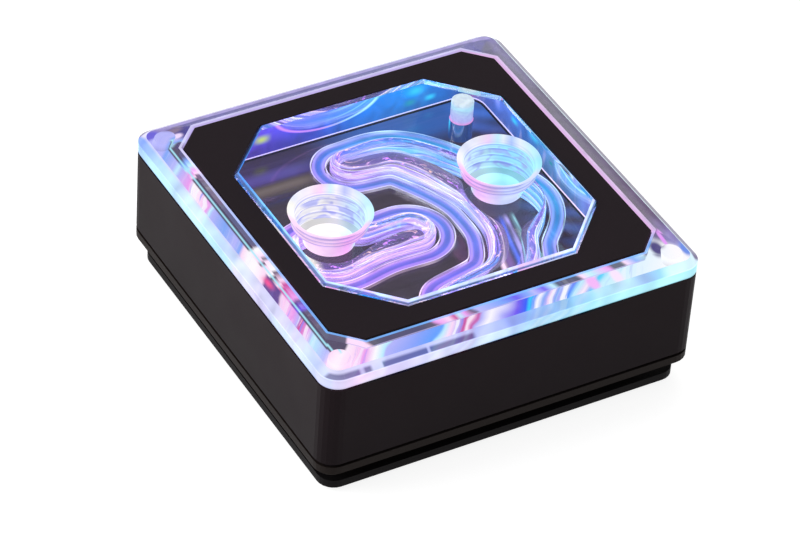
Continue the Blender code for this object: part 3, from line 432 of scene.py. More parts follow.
def turned(x, y, radius, height, steps=CIRCLE_STEPS):
    """A turned surface and its uv: radius and height by row, or by row and angle."""
    angle = np.linspace(0, 2 * math.pi, steps + 1)
    radius, height, angles = np.broadcast_arrays(radius, height, angle)
    points = np.stack((x + radius * np.cos(angles), y + radius * np.sin(angles), height), -1)
    points[:, -1] = points[:, 0]
    return points, laid_out(run(points[:, 0]), angle * radius.mean())


def thread(skin, kind, x, y, crest, root, pitch, top, bottom, steps=CIRCLE_STEPS):
    """A threaded wall: the radius swings between crest and root as a cosine of the height
    plus the turn, one pitch a turn, and fades to the crest at both ends."""
    height = np.linspace(top, bottom, THREAD_ROWS)[:, None]
    angle = np.linspace(0, 2 * math.pi, steps + 1)
    swing = 0.5 - 0.5 * np.cos(2 * math.pi * height / pitch - angle)
    fade = np.clip((top - height) / (0.5 * pitch), 0, 1) * np.clip((height - bottom) / pitch, 0, 1)
    skin.grid(kind, *turned(
        x, y, crest + (root - crest) * swing ** THREAD_FULLNESS * fade, height, steps))


def smooth_path(nodes, steps):
    """A Catmull-Rom spline through the nodes (x, y, half width, fillet) in millimetres."""
    nodes = np.array(nodes) * MM
    padded = np.vstack((2 * nodes[0] - nodes[1], nodes, 2 * nodes[-1] - nodes[-2]))
    t = np.linspace(0, 1, steps, endpoint=False)[:, None]
    spans = []
    for before, start, end, after in zip(padded, padded[1:], padded[2:], padded[3:]):
        bend = 2 * before - 5 * start + 4 * end - after
        twist = 3 * start - before - 3 * end + after
        spans.append(start + 0.5 * t * (end - before) + 0.5 * t**2 * bend + 0.5 * t**3 * twist)
    return np.vstack((*spans, nodes[-1:]))


CHANNELS = [
    ("outlet", smooth_path(OUTLET_NODES, OUTLET_SPAN_STEPS), OUTLET_STEPS, PORT_X),
    ("inlet", smooth_path(INLET_NODES, INLET_SPAN_STEPS), INLET_STEPS, -PORT_X)]


def even_points(points, count):
    """The open line through the points, divided into count equal steps."""
    along = run(points)
    places = np.linspace(0, along[-1], count + 1)
    return np.column_stack([np.interp(places, along, points[:, axis]) for axis in (0, 1)])


def outline(path, grow, count, z):
    """The envelope of the cutter's circles along the path, each larger by grow."""
    centre = path[:, :2]
    radius = path[:, 2] + grow
    step = np.gradient(centre, axis=0)
    heading = np.arctan2(step[:, 1], step[:, 0])
    spread = np.arccos(-np.gradient(radius) / np.linalg.norm(step, axis=1))
    cap = np.linspace(0, 1, CAP_STEPS)
    owner = np.concatenate((0 * cap, np.arange(len(path)), 0 * cap + len(path) - 1)).astype(int)
    sides = []
    for side in (-1, 1):
        first = heading[0] + side * (math.pi + (spread[0] - math.pi) * cap)
        last = heading[-1] + side * spread[-1] * (1 - cap)
        angle = np.concatenate((first, heading + side * spread, last))
        rim = np.column_stack((np.cos(angle), np.sin(angle)))
        points = centre[owner] + radius[owner][:, None] * rim
        outside = np.linalg.norm(points[:, None] - centre[None], axis=2) - radius[None]
        sides.append(even_points(points[outside.min(axis=1) > -OUTLINE_TOLERANCE], count))
    flat = np.vstack((sides[0][:-1], sides[1][:0:-1]))
    return np.column_stack((flat, np.full(len(flat), z)))


def outline_wall(path, count, grows, heights):
    """A wall that follows the path: one row for each pair of growth and height."""
    rows = closed(np.stack([outline(path, grow, count, z) for grow, z in zip(grows, heights)]))
    return rows, laid_out(run(rows[:, 0]), run(rows[0]))


def add_channel(skin, path, steps, port_x):
    """One channel: its wall, its filleted ceiling with the port's bore, and its groove."""
    ceiling = TOP_BASE + CHANNEL_DEPTH
    angle = np.linspace(0, math.pi / 2, FILLET_ROWS + 1)
    grows = [0.0, *(-path[:, 3] * (1 - math.cos(a)) for a in angle)]
    heights = np.r_[TOP_BASE, ceiling - CHANNEL_ARCH * (1 - np.sin(angle))]
    rows, uv = outline_wall(path, steps, grows, heights)
    skin.grid("channel", rows, uv)
    skin.fill([rows[-1, :-1], circle(port_x, 0, BORE_RADIUS, ceiling)], "clear")
    groove_top = TOP_BASE + GROOVE_DEPTH
    inner, outer = GROOVE_WALL, GROOVE_WALL + GROOVE_WIDTH
    for grow, heights in ((inner, (TOP_BASE, groove_top)), (outer, (groove_top, TOP_BASE))):
        skin.grid("groove", *outline_wall(path, steps, (grow, grow), heights))
    grows = np.linspace(inner, outer, GROOVE_ROWS)
    skin.grid("groove_roof", *outline_wall(path, steps, grows, np.full(GROOVE_ROWS, groove_top)))
    skin.fill([outline(path, inner, steps, TOP_BASE), rows[0, :-1]], "clear")
    return outline(path, outer, steps, TOP_BASE)


def add_port(skin, x):
    """One port: rim chamfer, thread, flat step and bore down to the channel's ceiling."""
    drop = PORT_RIM_RADIUS - THREAD_CREST_RADIUS
    step_height = ISLAND_TOP - THREAD_DEPTH
    arc = np.linspace(0, math.pi / 2, PORT_ARC_ROWS)[:, None]
    depth = np.linspace(step_height, TOP_BASE + CHANNEL_DEPTH, BORE_ROWS)[:, None]
    skin.grid("port_rim", *turned(
        x, 0, PORT_RIM_RADIUS - drop * np.sin(arc), ISLAND_TOP - drop * (1 - np.cos(arc))))
    thread(
        skin, "port", x, 0, THREAD_CREST_RADIUS, THREAD_ROOT_RADIUS, THREAD_PITCH,
        ISLAND_TOP - drop, step_height)
    skin.grid("port_step", *turned(x, 0, column(THREAD_CREST_RADIUS, BORE_RADIUS), step_height))
    skin.grid("port_bore", *turned(x, 0, BORE_RADIUS, depth))
    return circle(x, 0, PORT_RIM_RADIUS, ISLAND_TOP)


def add_tapped_hole(skin):
    """The blind tapped hole: clearance bore, thread and bevelled end."""
    x, y = TAPPED_HOLE
    tip = ISLAND_TOP - TAPPED_COVER
    shoulder, bevel = tip - TAPPED_DEPTH, tip - TAPPED_BEVEL
    wide = TAPPED_RADIUS + TAPPED_CLEARANCE
    steps = CIRCLE_STEPS // 2
    arc = np.linspace(0, math.pi / 2, TAPPED_ARC_ROWS)[:, None]
    skin.grid("tapped_bore", *turned(x, y, wide, column(TOP_BASE, shoulder), steps))
    skin.grid("tapped", *turned(x, y, column(wide, TAPPED_RADIUS), shoulder, steps))
    thread(
        skin, "tapped", x, y, TAPPED_RADIUS, TAPPED_RADIUS - TAPPED_THREAD, TAPPED_PITCH, bevel,
        shoulder, steps)
    skin.grid("tapped", *turned(
        x, y, TAPPED_RADIUS - TAPPED_BEVEL * (1 - np.cos(arc)), bevel + TAPPED_BEVEL * np.sin(arc),
        steps))
    skin.fill([circle(x, y, TAPPED_RADIUS - TAPPED_BEVEL, tip, steps)], "tapped")
    return circle(x, y, wide, TOP_BASE, steps)


def add_screw_holes(skin):
    """The blind screw holes in the rim's underside; returns their mouths."""
    mouths = []
    steps = CIRCLE_STEPS // 3
    tip = SCREW_TOP + SEAT_GAP
    for x, y in product((SCREW_X, -SCREW_X), repeat=2):
        skin.grid("screw_hole", *turned(x, y, SCREW_HOLE_RADIUS, column(RIM_BASE, tip), steps))
        skin.fill([circle(x, y, SCREW_HOLE_RADIUS, tip, steps)], "screw_hole")
        mouths.append(circle(x, y, SCREW_HOLE_RADIUS, RIM_BASE, steps))
    return mouths


def make_clear_top(materials):
    """The clear top: rim with its bevels, frame recess, island, ports, channels and holes."""
    edge = EDGE_CHAMFER
    side_top = RIM_BASE + RIM_SIDE_HEIGHT
    steep_half, steep_top = RIM_HALF - STEEP_BEVEL[0], side_top + STEEP_BEVEL[1]
    plateau_half = steep_half - MAIN_BEVEL_RUN
    recess_half = plateau_half - LEDGE_WIDTH
    recess_cut = FRAME_CUT + SEAT_GAP * CUT_GROWTH
    plateau_cut = recess_cut + LEDGE_WIDTH * CUT_GROWTH
    island_half = FRAME_HALF - FRAME_BAR - SEAT_GAP
    island_cut = WINDOW_CUT - SEAT_GAP * CUT_GROWTH
    rise = ISLAND_TOP - PLATEAU
    skin = Skin(materials)
    bottom = square(BODY_HALF - edge, BODY_CORNER - edge, TOP_BASE)
    body_top = square(BODY_HALF, BODY_CORNER, RIM_BASE)
    underside = square(RIM_HALF - edge, RIM_CORNER - edge, RIM_BASE)
    skin.rings([bottom, square(BODY_HALF, BODY_CORNER, TOP_BASE + edge), body_top], "body_side")
    skin.fill([underside, body_top, *add_screw_holes(skin)], "rim_floor")
    steep = square(steep_half, RIM_CORNER - STEEP_BEVEL[0], steep_top)
    skin.rings(
        [underside, square(RIM_HALF, RIM_CORNER, RIM_BASE + edge),
        square(RIM_HALF, RIM_CORNER, side_top), steep], "rim_side")
    plateau = octagon(plateau_half, plateau_cut, PLATEAU)
    skin.rings([steep, plateau], "bevel")
    recess = octagon(recess_half, recess_cut, PLATEAU)
    skin.rings([plateau, recess], "ledge")
    recess_foot = octagon(recess_half, recess_cut, RECESS_FLOOR)
    skin.rings([recess, recess_foot], "recess_side")
    island_foot = octagon(island_half, island_cut, PLATEAU)
    skin.rings([recess_foot, octagon(island_half, island_cut, RECESS_FLOOR), island_foot], "clear")
    island = octagon(island_half - rise, island_cut - rise * CUT_GROWTH, ISLAND_TOP)
    skin.rings([island_foot, island], "island_edge")
    mouths = [add_port(skin, x) for x in (-PORT_X, PORT_X)]
    skin.fill([island, *mouths], "clear")
    feet = [add_channel(skin, path, steps, port_x) for _, path, steps, port_x in CHANNELS]
    skin.fill([bottom, *feet, add_tapped_hole(skin)], "clear")
    skin.make("clear_top", "acrylic_top")


def make_gasket(name, node, path, steps, material):
    """A lit gasket: a flat band with rounded edges that follows its channel."""
    inner = GROOVE_WALL + GASKET_CLEARANCE
    outer = GROOVE_WALL + GROOVE_WIDTH - GASKET_CLEARANCE
    base, top = (corner.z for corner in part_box(node))
    share = np.linspace(0, math.pi / 2, GASKET_ARC_ROWS)
    rise = top - GASKET_ROUND * (1 - np.sin(share))
    inset = GASKET_ROUND * (1 - np.cos(share))
    grows = np.r_[outer, outer - inset, (inner + inset)[::-1], inner]
    heights = np.r_[base, rise, rise[::-1], base]
    rows, uv = outline_wall(path, steps, grows, heights)
    skin = Skin({"gasket": material})
    skin.grid("gasket", rows, uv)
    skin.fill([rows[0, :-1], rows[-1, :-1]], "gasket")
    skin.make(name, node)


# Colours of the light in the clear top, as a lamp behind it would give them
DUSK = (0.06, 0.045, 0.095)
PLUM = (0.1, 0.04, 0.26)
VIOLET = (0.16, 0.08, 0.85)
BLUE = (0.02, 0.1, 0.95)
ORCHID = (0.46, 0.25, 1.0)
LILAC = (0.46, 0.46, 0.96)
MAGENTA = (0.6, 0.04, 0.3)
PINK = (0.85, 0.32, 0.84)
ROSE = (1.0, 0.7, 0.92)
WHITE = (1.0, 0.96, 1.0)
ICE = (0.5, 0.85, 1.0)
SKY = (0.2, 0.38, 0.92)
AZURE = (0.01, 0.22, 1.0)
CYAN = (0.03, 0.62, 0.95)
TEAL = (0.0, 0.3, 0.34)
LIME = (0.55, 0.7, 0.1)
BLACK = (0.0, 0.0, 0.0)

# Light on the walls of the frame's recess and on the rim's underside, by millimetres along
# the front and the left side
FRONT_WALL = [
    (-33, ROSE), (-26, ROSE), (-25.3, DUSK), (-14.3, DUSK), (-13.7, PINK), (-12, ROSE),
    (-10.6, MAGENTA), (-9.5, ICE), (-8, PINK), (-6.5, DUSK), (-5.9, LILAC), (-1, SKY), (1, VIOLET),
    (3.6, SKY), (5, LILAC), (7, VIOLET), (8.6, ICE), (9.6, DUSK), (13.8, DUSK), (14.4, ROSE),
    (16, ICE), (18.8, PINK), (19.6, DUSK), (21.8, DUSK), (22.3, ROSE), (24, SKY), (26.2, ICE),
    (26.9, DUSK), (29.0, DUSK), (30, PINK), (31, SKY)]
FRONT_FLOOR = [
    (-32, WHITE), (-28.5, ROSE), (-26.4, PINK), (-24.4, WHITE), (-22.5, ICE), (-21.9, LILAC),
    (-17, (0.24, 0.36, 0.96)), (-13.4, (0.1, 0.34, 0.98)), (-12.9, ICE), (-11.4, ROSE),
    (-9.6, LILAC), (-8, MAGENTA), (-7.2, ROSE), (-6, MAGENTA), (-5.2, LILAC), (-3.2, WHITE),
    (-0.8, LILAC), (1.4, VIOLET), (3.4, BLUE), (4.1, CYAN), (4.9, AZURE), (5.8, WHITE), (7.0, SKY),
    (8.2, ROSE), (9.4, SKY), (11, WHITE), (12.4, AZURE), (13.8, ICE), (15.7, ROSE), (17, CYAN),
    (18.6, (0.58, 0.88, 1.0)), (33, WHITE)]
LEFT_WALL = [
    (-33, WHITE), (-30.8, ROSE), (-29.8, DUSK), (-19.2, DUSK), (-18.4, VIOLET), (-16.6, PLUM),
    (-15.6, PINK), (-12.6, MAGENTA), (-11.4, ROSE), (-9.4, DUSK), (-8.6, WHITE), (-6.4, ROSE),
    (-5.6, DUSK), (-4.6, ROSE), (-2.0, WHITE), (-1.1, DUSK), (18.8, DUSK), (19.4, ROSE),
    (20.4, PINK), (21.6, ICE), (23.2, SKY), (24.6, DUSK), (27.9, DUSK), (28.6, ICE), (29.6, ICE),
    (30.0, DUSK), (32.0, DUSK), (32.6, VIOLET)]
LEFT_FLOOR = [
    (-32, WHITE), (-28.4, ROSE), (-27.2, LILAC), (-22.6, ICE), (-20.8, PINK), (-18.4, MAGENTA),
    (-17.6, LILAC), (-16.2, PINK), (-12.3, ROSE), (-11.6, PLUM), (-7.4, PLUM), (-6.6, ROSE),
    (-3.4, WHITE), (0.0, WHITE), (1.4, ROSE), (2.2, SKY), (4.0, LILAC), (8.0, SKY), (12.6, LILAC),
    (13.6, ICE), (14.6, PINK), (16.4, ROSE), (19.2, WHITE), (20.2, PINK), (24.0, LILAC),
    (25.0, ICE), (26.0, LILAC), (29.6, SKY), (30.6, LILAC), (33, LILAC)]


def clear_acrylic(name, share=1.0, colour=(0.97, 0.98, 1.0)):
    """Polished clear acrylic; share is how clear a wall stays that is given a glow, and a tinted
    colour is painted light and shade in the part of the wall that is not clear.
    """
    return Paint(name, colour, roughness=0.0, ior=1.49, transmission_weight=share)


def milled(name):
    """A wall that shows only the light painted on it."""
    return Paint(name, BLACK, roughness=0.3)


def on_left(x, y):
    """1 on the left side of the front left diagonal, 0 on the front side."""
    return (y - x).ramp_up(-0.4, 0.4)


def reach_out(x, y):
    """How far a point lies from the block's axis, measured square."""
    return x.maths("ABSOLUTE").maths("MAXIMUM", y.maths("ABSOLUTE"))


def towards(x, y, direction):
    """How far a point lies in a direction on the ground."""
    return x * direction[0] + y * direction[1]


def streaked(paint, lit, along, across, lively, seed):
    """The light with thin bright and deep lines in it, which run across the strip and bend."""
    flow = paint.noise(along * 0.75, across * 0.1, seed, detail=3.0)
    lit = paint.mix(flow.ramp_up(0.44, 0.36) * lively * 0.65, lit, (0.22, 0.26, 0.95))
    return paint.mix(flow.ramp_up(0.53, 0.6) * lively * 0.85, lit, (0.97, 0.95, 1.0))


def side_lights(paint, x, y, across, front_stops, left_stops, lean, lines=1.0):
    """Light along the front and left side, with borders and lines that lean and bend."""
    wobble = paint.liquid(x, y, 3.0, 0.16, 0.5) - 0.5
    along = x + wobble * 4 + across * lean
    lively = along.hill(-27.5, 4.5) * 0.6 + along.hill(-9.5, 4.5) + along.hill(11.5, 9.5)
    lively = (lively + along.hill(22.0, 5.0) * 0.5) * lines
    front = streaked(paint, paint.side_ramp(along, front_stops), along, across, lively, 1.0)
    along = y - wobble * 3 + across * lean
    lively = along.hill(-18.0, 6.5) + along.hill(17.0, 5.0) + along.hill(-1.5, 2.5) * 0.5
    lively = (lively + 0.12) * lines
    left = streaked(paint, paint.side_ramp(along, left_stops), along, across, lively, 7.0)
    return paint.mix(on_left(x, y), front, left)


# Small patches of light and shade on the rim's underside near its corners: middle and
# reach in x, the same in y, and colour
RIM_PATCHES = [
    ((-32.2, 2.6), (34.2, 1.8), (0.14, 0.11, 0.7)),
    ((-28.6, 3.4), (33.2, 1.2), (0.22, 0.15, 0.26)),
    ((-28.3, 1.7), (31.6, 1.1), (0.9, 0.72, 1.0)),
    ((-28.9, 1.3), (29.2, 1.4), (0.05, 0.03, 0.14)),
    ((30.0, 1.9), (-28.1, 3.0), (0.06, 0.035, 0.2)),
    ((32.1, 0.6), (-26.4, 3.6), (0.8, 0.3, 0.95)),
    ((34.6, 1.4), (-29.9, 3.0), (0.14, 0.26, 0.8)),
    ((16.2, 1.7), (-30.6, 3.2), (0.95, 0.48, 0.95)),
    ((20.6, 1.6), (-30.8, 3.0), (1.0, 0.8, 1.0))]


def rim_light(paint, x, y):
    """The light on the rim's underside: lively along the front and left, dim elsewhere."""
    depth = reach_out(x, y) - BODY
    lit = side_lights(paint, x, y, depth - 2.6, FRONT_FLOOR, LEFT_FLOOR, 0.9)
    slot = paint.side_ramp(y - 1.4, LEFT_WALL)
    slotted = on_left(x, y) * y.ramp_up(30.2, 29.6)
    lit = paint.mix(depth.ramp_up(3.0, 2.7) * slotted, lit, slot)
    lit = paint.mix(depth.hill(2.35, 0.32) * slotted * 0.95, lit, (0.4, 0.86, 1.0))
    spot = y.hill(-8.6, 2.6) * depth.hill(3.7, 0.9) * on_left(x, y)
    lit = paint.mix(spot, lit, (0.95, 0.05, 0.28))
    pool = x.hill(-0.9, 4.0) * depth.ramp_up(3.6, 1.4) * y.ramp_up(0.0, -20.0)
    lit = paint.mix(pool * 0.55, lit, (0.95, 0.9, 1.0))
    inner = paint.side_ramp(x, [
        (-20, PINK), (-12, LILAC), (-4, (0.34, 0.52, 0.9)), (4, ICE), (7, SKY),
        (18, (0.1, 0.45, 0.95)), (26, CYAN)])
    back = paint.side_ramp(x, [
        (-35, (0.2, 0.16, 0.62)), (-28, (0.03, 0.015, 0.26)), (0, (0.03, 0.02, 0.26)),
        (35, (0.08, 0.06, 0.3))])
    right = paint.side_ramp(y, [
        (-35, (0.4, 0.42, 0.9)), (-26, (0.22, 0.16, 0.42)), (-20, (0.1, 0.05, 0.13)),
        (15, (0.08, 0.055, 0.12)), (35, (0.13, 0.1, 0.3))])
    streak = paint.liquid(x * 0.15, y * 0.15, 3.0, 4.0, 0.2) * 0.7 + 0.65
    on_back = y.ramp_up(27.6, 28.0) * (x + y).ramp_up(1.5, 4.0)
    back = paint.mix(depth.ramp_up(5.6, 6.1), back, (0.33, 0.27, 0.62))
    right = paint.tint(right, depth.ramp_up(3.4, 5.4) * 0.5 + 0.65)
    back = paint.mix(
        depth.ramp_up(1.6, 1.1), paint.tint(back, streak), paint.tint(inner, streak * 0.6))
    lit = paint.mix(on_back, lit, back)
    on_right = x.ramp_up(27.6, 28.0) * (x - y).ramp_up(-0.5, 0.5) * (x + y).ramp_up(3.0, 6.0)
    right = paint.mix(depth.ramp_up(1.6, 1.1), right, (0.16, 0.5, 0.85))
    lit = paint.mix(on_right, lit, paint.tint(right, streak))
    for (middle_x, reach_x), (middle_y, reach_y), colour in RIM_PATCHES:
        patch = (x.hill(middle_x, reach_x) * y.hill(middle_y, reach_y)).ramp_up(0.05, 0.75)
        lit = paint.mix(patch, lit, colour)
    return lit


def paint_rim_floor():
    """Underside of the rim over the lights, where most of the light comes in."""
    paint = milled("rim_floor")
    x, y, _ = paint.place()
    return paint.lit(rim_light(paint, x, y))


def paint_recess_side():
    """Wall of the frame's recess: a mirror from inside, painted as dusky shade with lit gaps of
    painted light.
    """
    paint = milled("recess_side")
    x, y, z = paint.place()
    lit = side_lights(paint, x, y, z - 27.0, FRONT_WALL, LEFT_WALL, 0.7, 0.1)
    top = z.ramp_up(27.1, 27.6)
    on_back, on_right = y.ramp_up(24.0, 29.0), x.ramp_up(24.0, 29.0)
    lit = paint.mix(on_back, lit, paint.mix(top, (0.06, 0.05, 0.22), (0.55, 0.46, 0.85)))
    lit = paint.mix(on_right, lit, paint.mix(top, (0.09, 0.06, 0.13), (0.75, 0.48, 0.82)))
    near = 1 - on_back.maths("MAXIMUM", on_right)
    line = z.hill(26.0, 0.28) * near * (on_left(x, y) * -0.8 + 0.8)
    return paint.lit(paint.mix(line, lit, (0.5, 0.45, 0.8)))


def paint_screw_hole():
    """Walls of the blind screw holes: the rim's light round them is painted on them, a little
    dimmer towards their mouths.
    """
    paint = milled("screw_hole")
    x, y, z = paint.place()
    return paint.lit(paint.tint(rim_light(paint, x, y), z.ramp_up(23.0, 26.4) * 0.3 + 0.7))


def rim_glow(paint, x, y, z):
    """The light along the rim's outer side: ice at the left, rose and lilac towards the front
    corner, then ice and cyan to the right end, deeper on the steep bevel above."""
    front = paint.side_ramp(x, [
        (-35, (0.7, 0.66, 1.0)), (-30, (0.95, 0.72, 0.98)), (-20, (0.8, 0.72, 0.98)),
        (-8, (0.6, 0.72, 0.98)), (5, (0.48, 0.86, 1.0)), (18, (0.4, 0.9, 1.0)),
        (32, (0.34, 0.88, 0.96)), (35.5, (0.06, 0.5, 0.55))])
    left = paint.side_ramp(y, [
        (-35, (0.62, 0.64, 1.0)), (-17, (0.52, 0.72, 0.98)), (-14, (0.62, 0.56, 0.9)),
        (-3, (0.62, 0.58, 0.88)), (0, (0.4, 0.78, 0.94)), (28, (0.36, 0.76, 0.96)),
        (34.5, (0.14, 0.38, 0.85))])
    front_steep = paint.side_ramp(x, [
        (-35, (0.75, 0.7, 1.0)), (-12, (0.62, 0.62, 1.0)), (-2, (0.36, 0.46, 0.96)),
        (10, (0.3, 0.64, 0.97)), (15, (0.48, 0.84, 0.98)), (21, (0.5, 0.8, 0.96)),
        (24, (0.3, 0.5, 0.92)), (27, (0.24, 0.64, 0.95)), (29, (0.6, 0.92, 1.0)),
        (35, (0.72, 0.95, 1.0))])
    left_steep = paint.side_ramp(y, [
        (-35, (0.62, 0.72, 1.0)), (-10, (0.8, 0.76, 1.0)), (5, (0.64, 0.86, 1.0)),
        (24, (0.54, 0.82, 1.0)), (34, (0.16, 0.3, 0.9))])
    steep = z.ramp_up(RIM_SEAM - 0.07, RIM_SEAM + 0.07)
    lit = paint.mix(
        x.ramp_up(-34.0, -34.6), paint.mix(steep, front, front_steep),
        paint.mix(steep, left, left_steep))
    on_back = y.ramp_up(34.0, 34.6)
    on_right = x.ramp_up(34.0, 34.6) * y.ramp_up(-34.5, -33.5)
    return paint.mix(on_back.maths("MAXIMUM", on_right), lit, (0.05, 0.04, 0.09))


def paint_rim_side():
    """Upright side and steep bevel of the rim: a pale band of painted light with brighter edges,
    a plum line of painted shade on the front's steep bevel and a teal foot of painted light at
    its right."""
    paint = clear_acrylic("rim_side", share=0.4, colour=(0.12, 0.17, 0.25))
    x, y, z = paint.place()
    # Painted shade: the base colour is darker on the back and right sides
    far = x.maths("MAXIMUM", y).ramp_up(33.6, 34.2)
    paint.set("Base Color", paint.mix(far, (0.12, 0.17, 0.25), (0.05, 0.035, 0.12)))
    soft = paint.liquid(x * 0.3, y * 0.3, z * 0.15, 1.0, 0.3)
    seam = z.hill(RIM_SEAM, 0.12) * 0.35
    edges = seam + z.ramp_up(RIM_BASE / MM, RIM_BASE / MM + 0.6) * 0.35 + 0.65
    lit = paint.tint(rim_glow(paint, x, y, z), (soft * 0.7 + 0.42) * edges)
    on_front = y.ramp_up(-33.0, -33.8)
    gaps = paint.liquid(x * 0.4, 0.0, 0.0, 0.6).ramp_up(0.4, 0.47)
    line = z.ramp_up(RIM_SEAM, RIM_SEAM + 0.15) * z.ramp_up(26.75, 26.4)
    line = line * gaps * x.ramp_up(-8.0, -9.0)
    lit = paint.mix(line * on_front * 0.94, lit, (0.035, 0.012, 0.13))
    foot = z.ramp_up(24.35, 24.1) * x.ramp_up(-12.0, 0.0) * on_front
    return paint.lit(paint.mix(foot * 0.85, lit, TEAL))


def paint_bevel():
    """Main bevel of the rim: clear, with a faint sheen of light."""
    paint = clear_acrylic("bevel")
    x, y, z = paint.place()
    soft = paint.liquid(x, y, 0.0, 0.1)
    return paint.lit(paint.tint(rim_glow(paint, x, y, z), soft * 0.06))


def light_arc(x, z, centre, top, radius, width):
    """How near a point lies to a hanging arc of the given centre, top height and radius."""
    reach = ((x - centre) * (x - centre) + (z - top) * (z - top)) ** 0.5
    return reach.hill(radius, width) * z.ramp_up(top + 0.8, top - 1.5)


def paint_body_side():
    """Side walls of the body in painted light: azure at the back and right, violet at the left
    end, with painted arcs and spots of the light that the channels and lights throw on them,
    painted shade towards the bottom and a painted rose line of light along their foot."""
    paint = clear_acrylic("body_side", share=0.3, colour=(0.01, 0.03, 0.16))
    x, y, z = paint.place()
    soft = paint.liquid(x * 0.5, y * 0.5, z * 0.25, 0.5)
    shade = z.ramp_up(10.0, 22.0) * 0.5 + soft * 0.7 + 0.1
    back = paint.side_ramp(x, [
        (-28, (0.1, 0.05, 0.6)), (-15, (0.12, 0.06, 0.85)), (-4, (0.05, 0.1, 0.95)),
        (4, (0.0, 0.24, 1.0)), (16, (0.0, 0.3, 0.9)), (24, (0.02, 0.16, 0.6))])
    right = paint.side_ramp(y, [
        (-28, (0.24, 0.1, 0.55)), (-12, (0.22, 0.22, 0.8)), (-5, (0.16, 0.42, 0.9)),
        (2, (0.12, 0.36, 0.72)), (8, (0.02, 0.2, 0.6)), (13, (0.06, 0.2, 0.7)),
        (20, (0.12, 0.2, 0.75)), (28, (0.12, 0.12, 0.6))])
    rays = paint.liquid(y * 0.9, z * 0.12, 5.0, 0.6, 0.3)
    right = paint.mix(rays.ramp_up(0.52, 0.66) * 0.5, right, (0.5, 0.52, 0.95))
    near = paint.ramp(soft, [(0.3, VIOLET), (0.45, LILAC), (0.55, PINK), (0.7, SKY)])
    colour = paint.mix(x.ramp_up(27.0, 28.0), paint.tint(near, 0.7), right)
    colour = paint.mix(y.ramp_up(27.0, 28.0), colour, back)
    on_back, on_right = y.ramp_up(27.8, 28.0), x.ramp_up(27.8, 28.0)
    lit = paint.tint(colour, shade)
    for centre, top, radius, width, tone, side in (
            (-1.5, 25.0, 10.4, 0.7, PINK, -1), (-1.5, 25.0, 10.4, 0.7, ICE, 1),
            (-1.5, 27.0, 9.4, 0.5, SKY, 1), (-1.0, 28.5, 7.8, 0.9, SKY, 1)):
        half = (x * side).ramp_up(-4.0, 4.0)
        inside = light_arc(x, z, centre, top, radius - 3.0, 3.0) * on_back
        lit = paint.mix(inside * 0.1, lit, (0.3, 0.5, 1.0))
        arc = light_arc(x, z, centre, top, radius, width) * half * on_back
        lit = paint.sum(lit, paint.tint(tone, arc * 0.75))
    for centre, top, radius, width, tone in (
            (-5.0, 24.0, 6.0, 0.7, ICE), (-6.0, 25.0, 4.6, 0.5, SKY)):
        arc = light_arc(y, z, centre, top, radius, width) * on_right
        lit = paint.sum(lit, paint.tint(tone, arc * 0.6))
    for place, height, wide, tone in (
            (-14.2, 17.4, 2.2, LIME), (16.0, 19.2, 2.6, CYAN), (8.4, 22.5, 1.8, CYAN),
            (19.0, 14.5, 1.6, CYAN), (15.0, 14.5, 1.8, TEAL)):
        lit = paint.mix(x.hill(place, wide) * z.hill(height, wide * 1.2) * on_back, lit, tone)
    for place, height, wide, tone in (
            (14.5, 17.3, 1.7, CYAN), (8.0, 19.8, 2.6, CYAN), (14.0, 19.5, 2.2, AZURE),
            (2.0, 16.5, 1.0, TEAL)):
        lit = paint.mix(y.hill(place, wide) * z.hill(height, wide * 1.2) * on_right, lit, tone)
    foot = paint.tint(paint.mix(y.ramp_up(0.0, 20.0), ROSE, (0.75, 0.65, 1.0)), z.hill(10.6, 0.28))
    return paint.lit(paint.sum(lit, foot))


def paint_edge():
    """A chamfer painted bright over a deeper wall painted dimmer, in painted light: white and rose
    along the front, azure at the left, dim at the back."""
    paint = clear_acrylic("window_edge", share=0.6, colour=(0.05, 0.15, 0.35))
    x, y, z = paint.place()
    share = (x * 0.2 - y) / 60 + 0.5
    colour = paint.ramp(share, [
        (0.0, (0.08, 0.14, 0.55)), (0.2, (0.03, 0.3, 0.95)), (0.38, (0.25, 0.66, 1.0)),
        (0.78, (0.6, 0.82, 1.0)), (1.0, (0.8, 0.78, 1.0))])
    soft = paint.liquid(x, y, 0.0, 0.5, 0.4)
    tinge = paint.liquid(x, y, 9.0, 0.22, 0.8).ramp_up(0.45, 0.75) * share.ramp_up(0.6, 0.8)
    colour = paint.mix(tinge * 0.6, colour, PINK)
    rise = (z - x.ramp_up(-19.0, -20.0) * 0.13).ramp_up(CROWN - 0.45, CROWN - 0.25) + 0.1
    return paint.lit(paint.tint(colour, (soft * 0.7 + 0.5) * rise))


def paint_ledge():
    """Flat strip outside the frame, in painted light: lavender white along the back, blue along
    the left.
    """
    paint = clear_acrylic("ledge", share=0.6, colour=(0.3, 0.3, 0.5))
    x, y, _ = paint.place()
    colour = paint.mix(y.ramp_up(-20.0, 29.0), (0.08, 0.42, 0.95), (0.72, 0.68, 0.92))
    colour = paint.mix(x.ramp_up(28.0, 31.0), colour, (0.85, 0.6, 0.88))
    soft = paint.liquid(x, y, 0.0, 0.15)
    return paint.lit(paint.tint(colour, soft * 0.5 + 0.45))


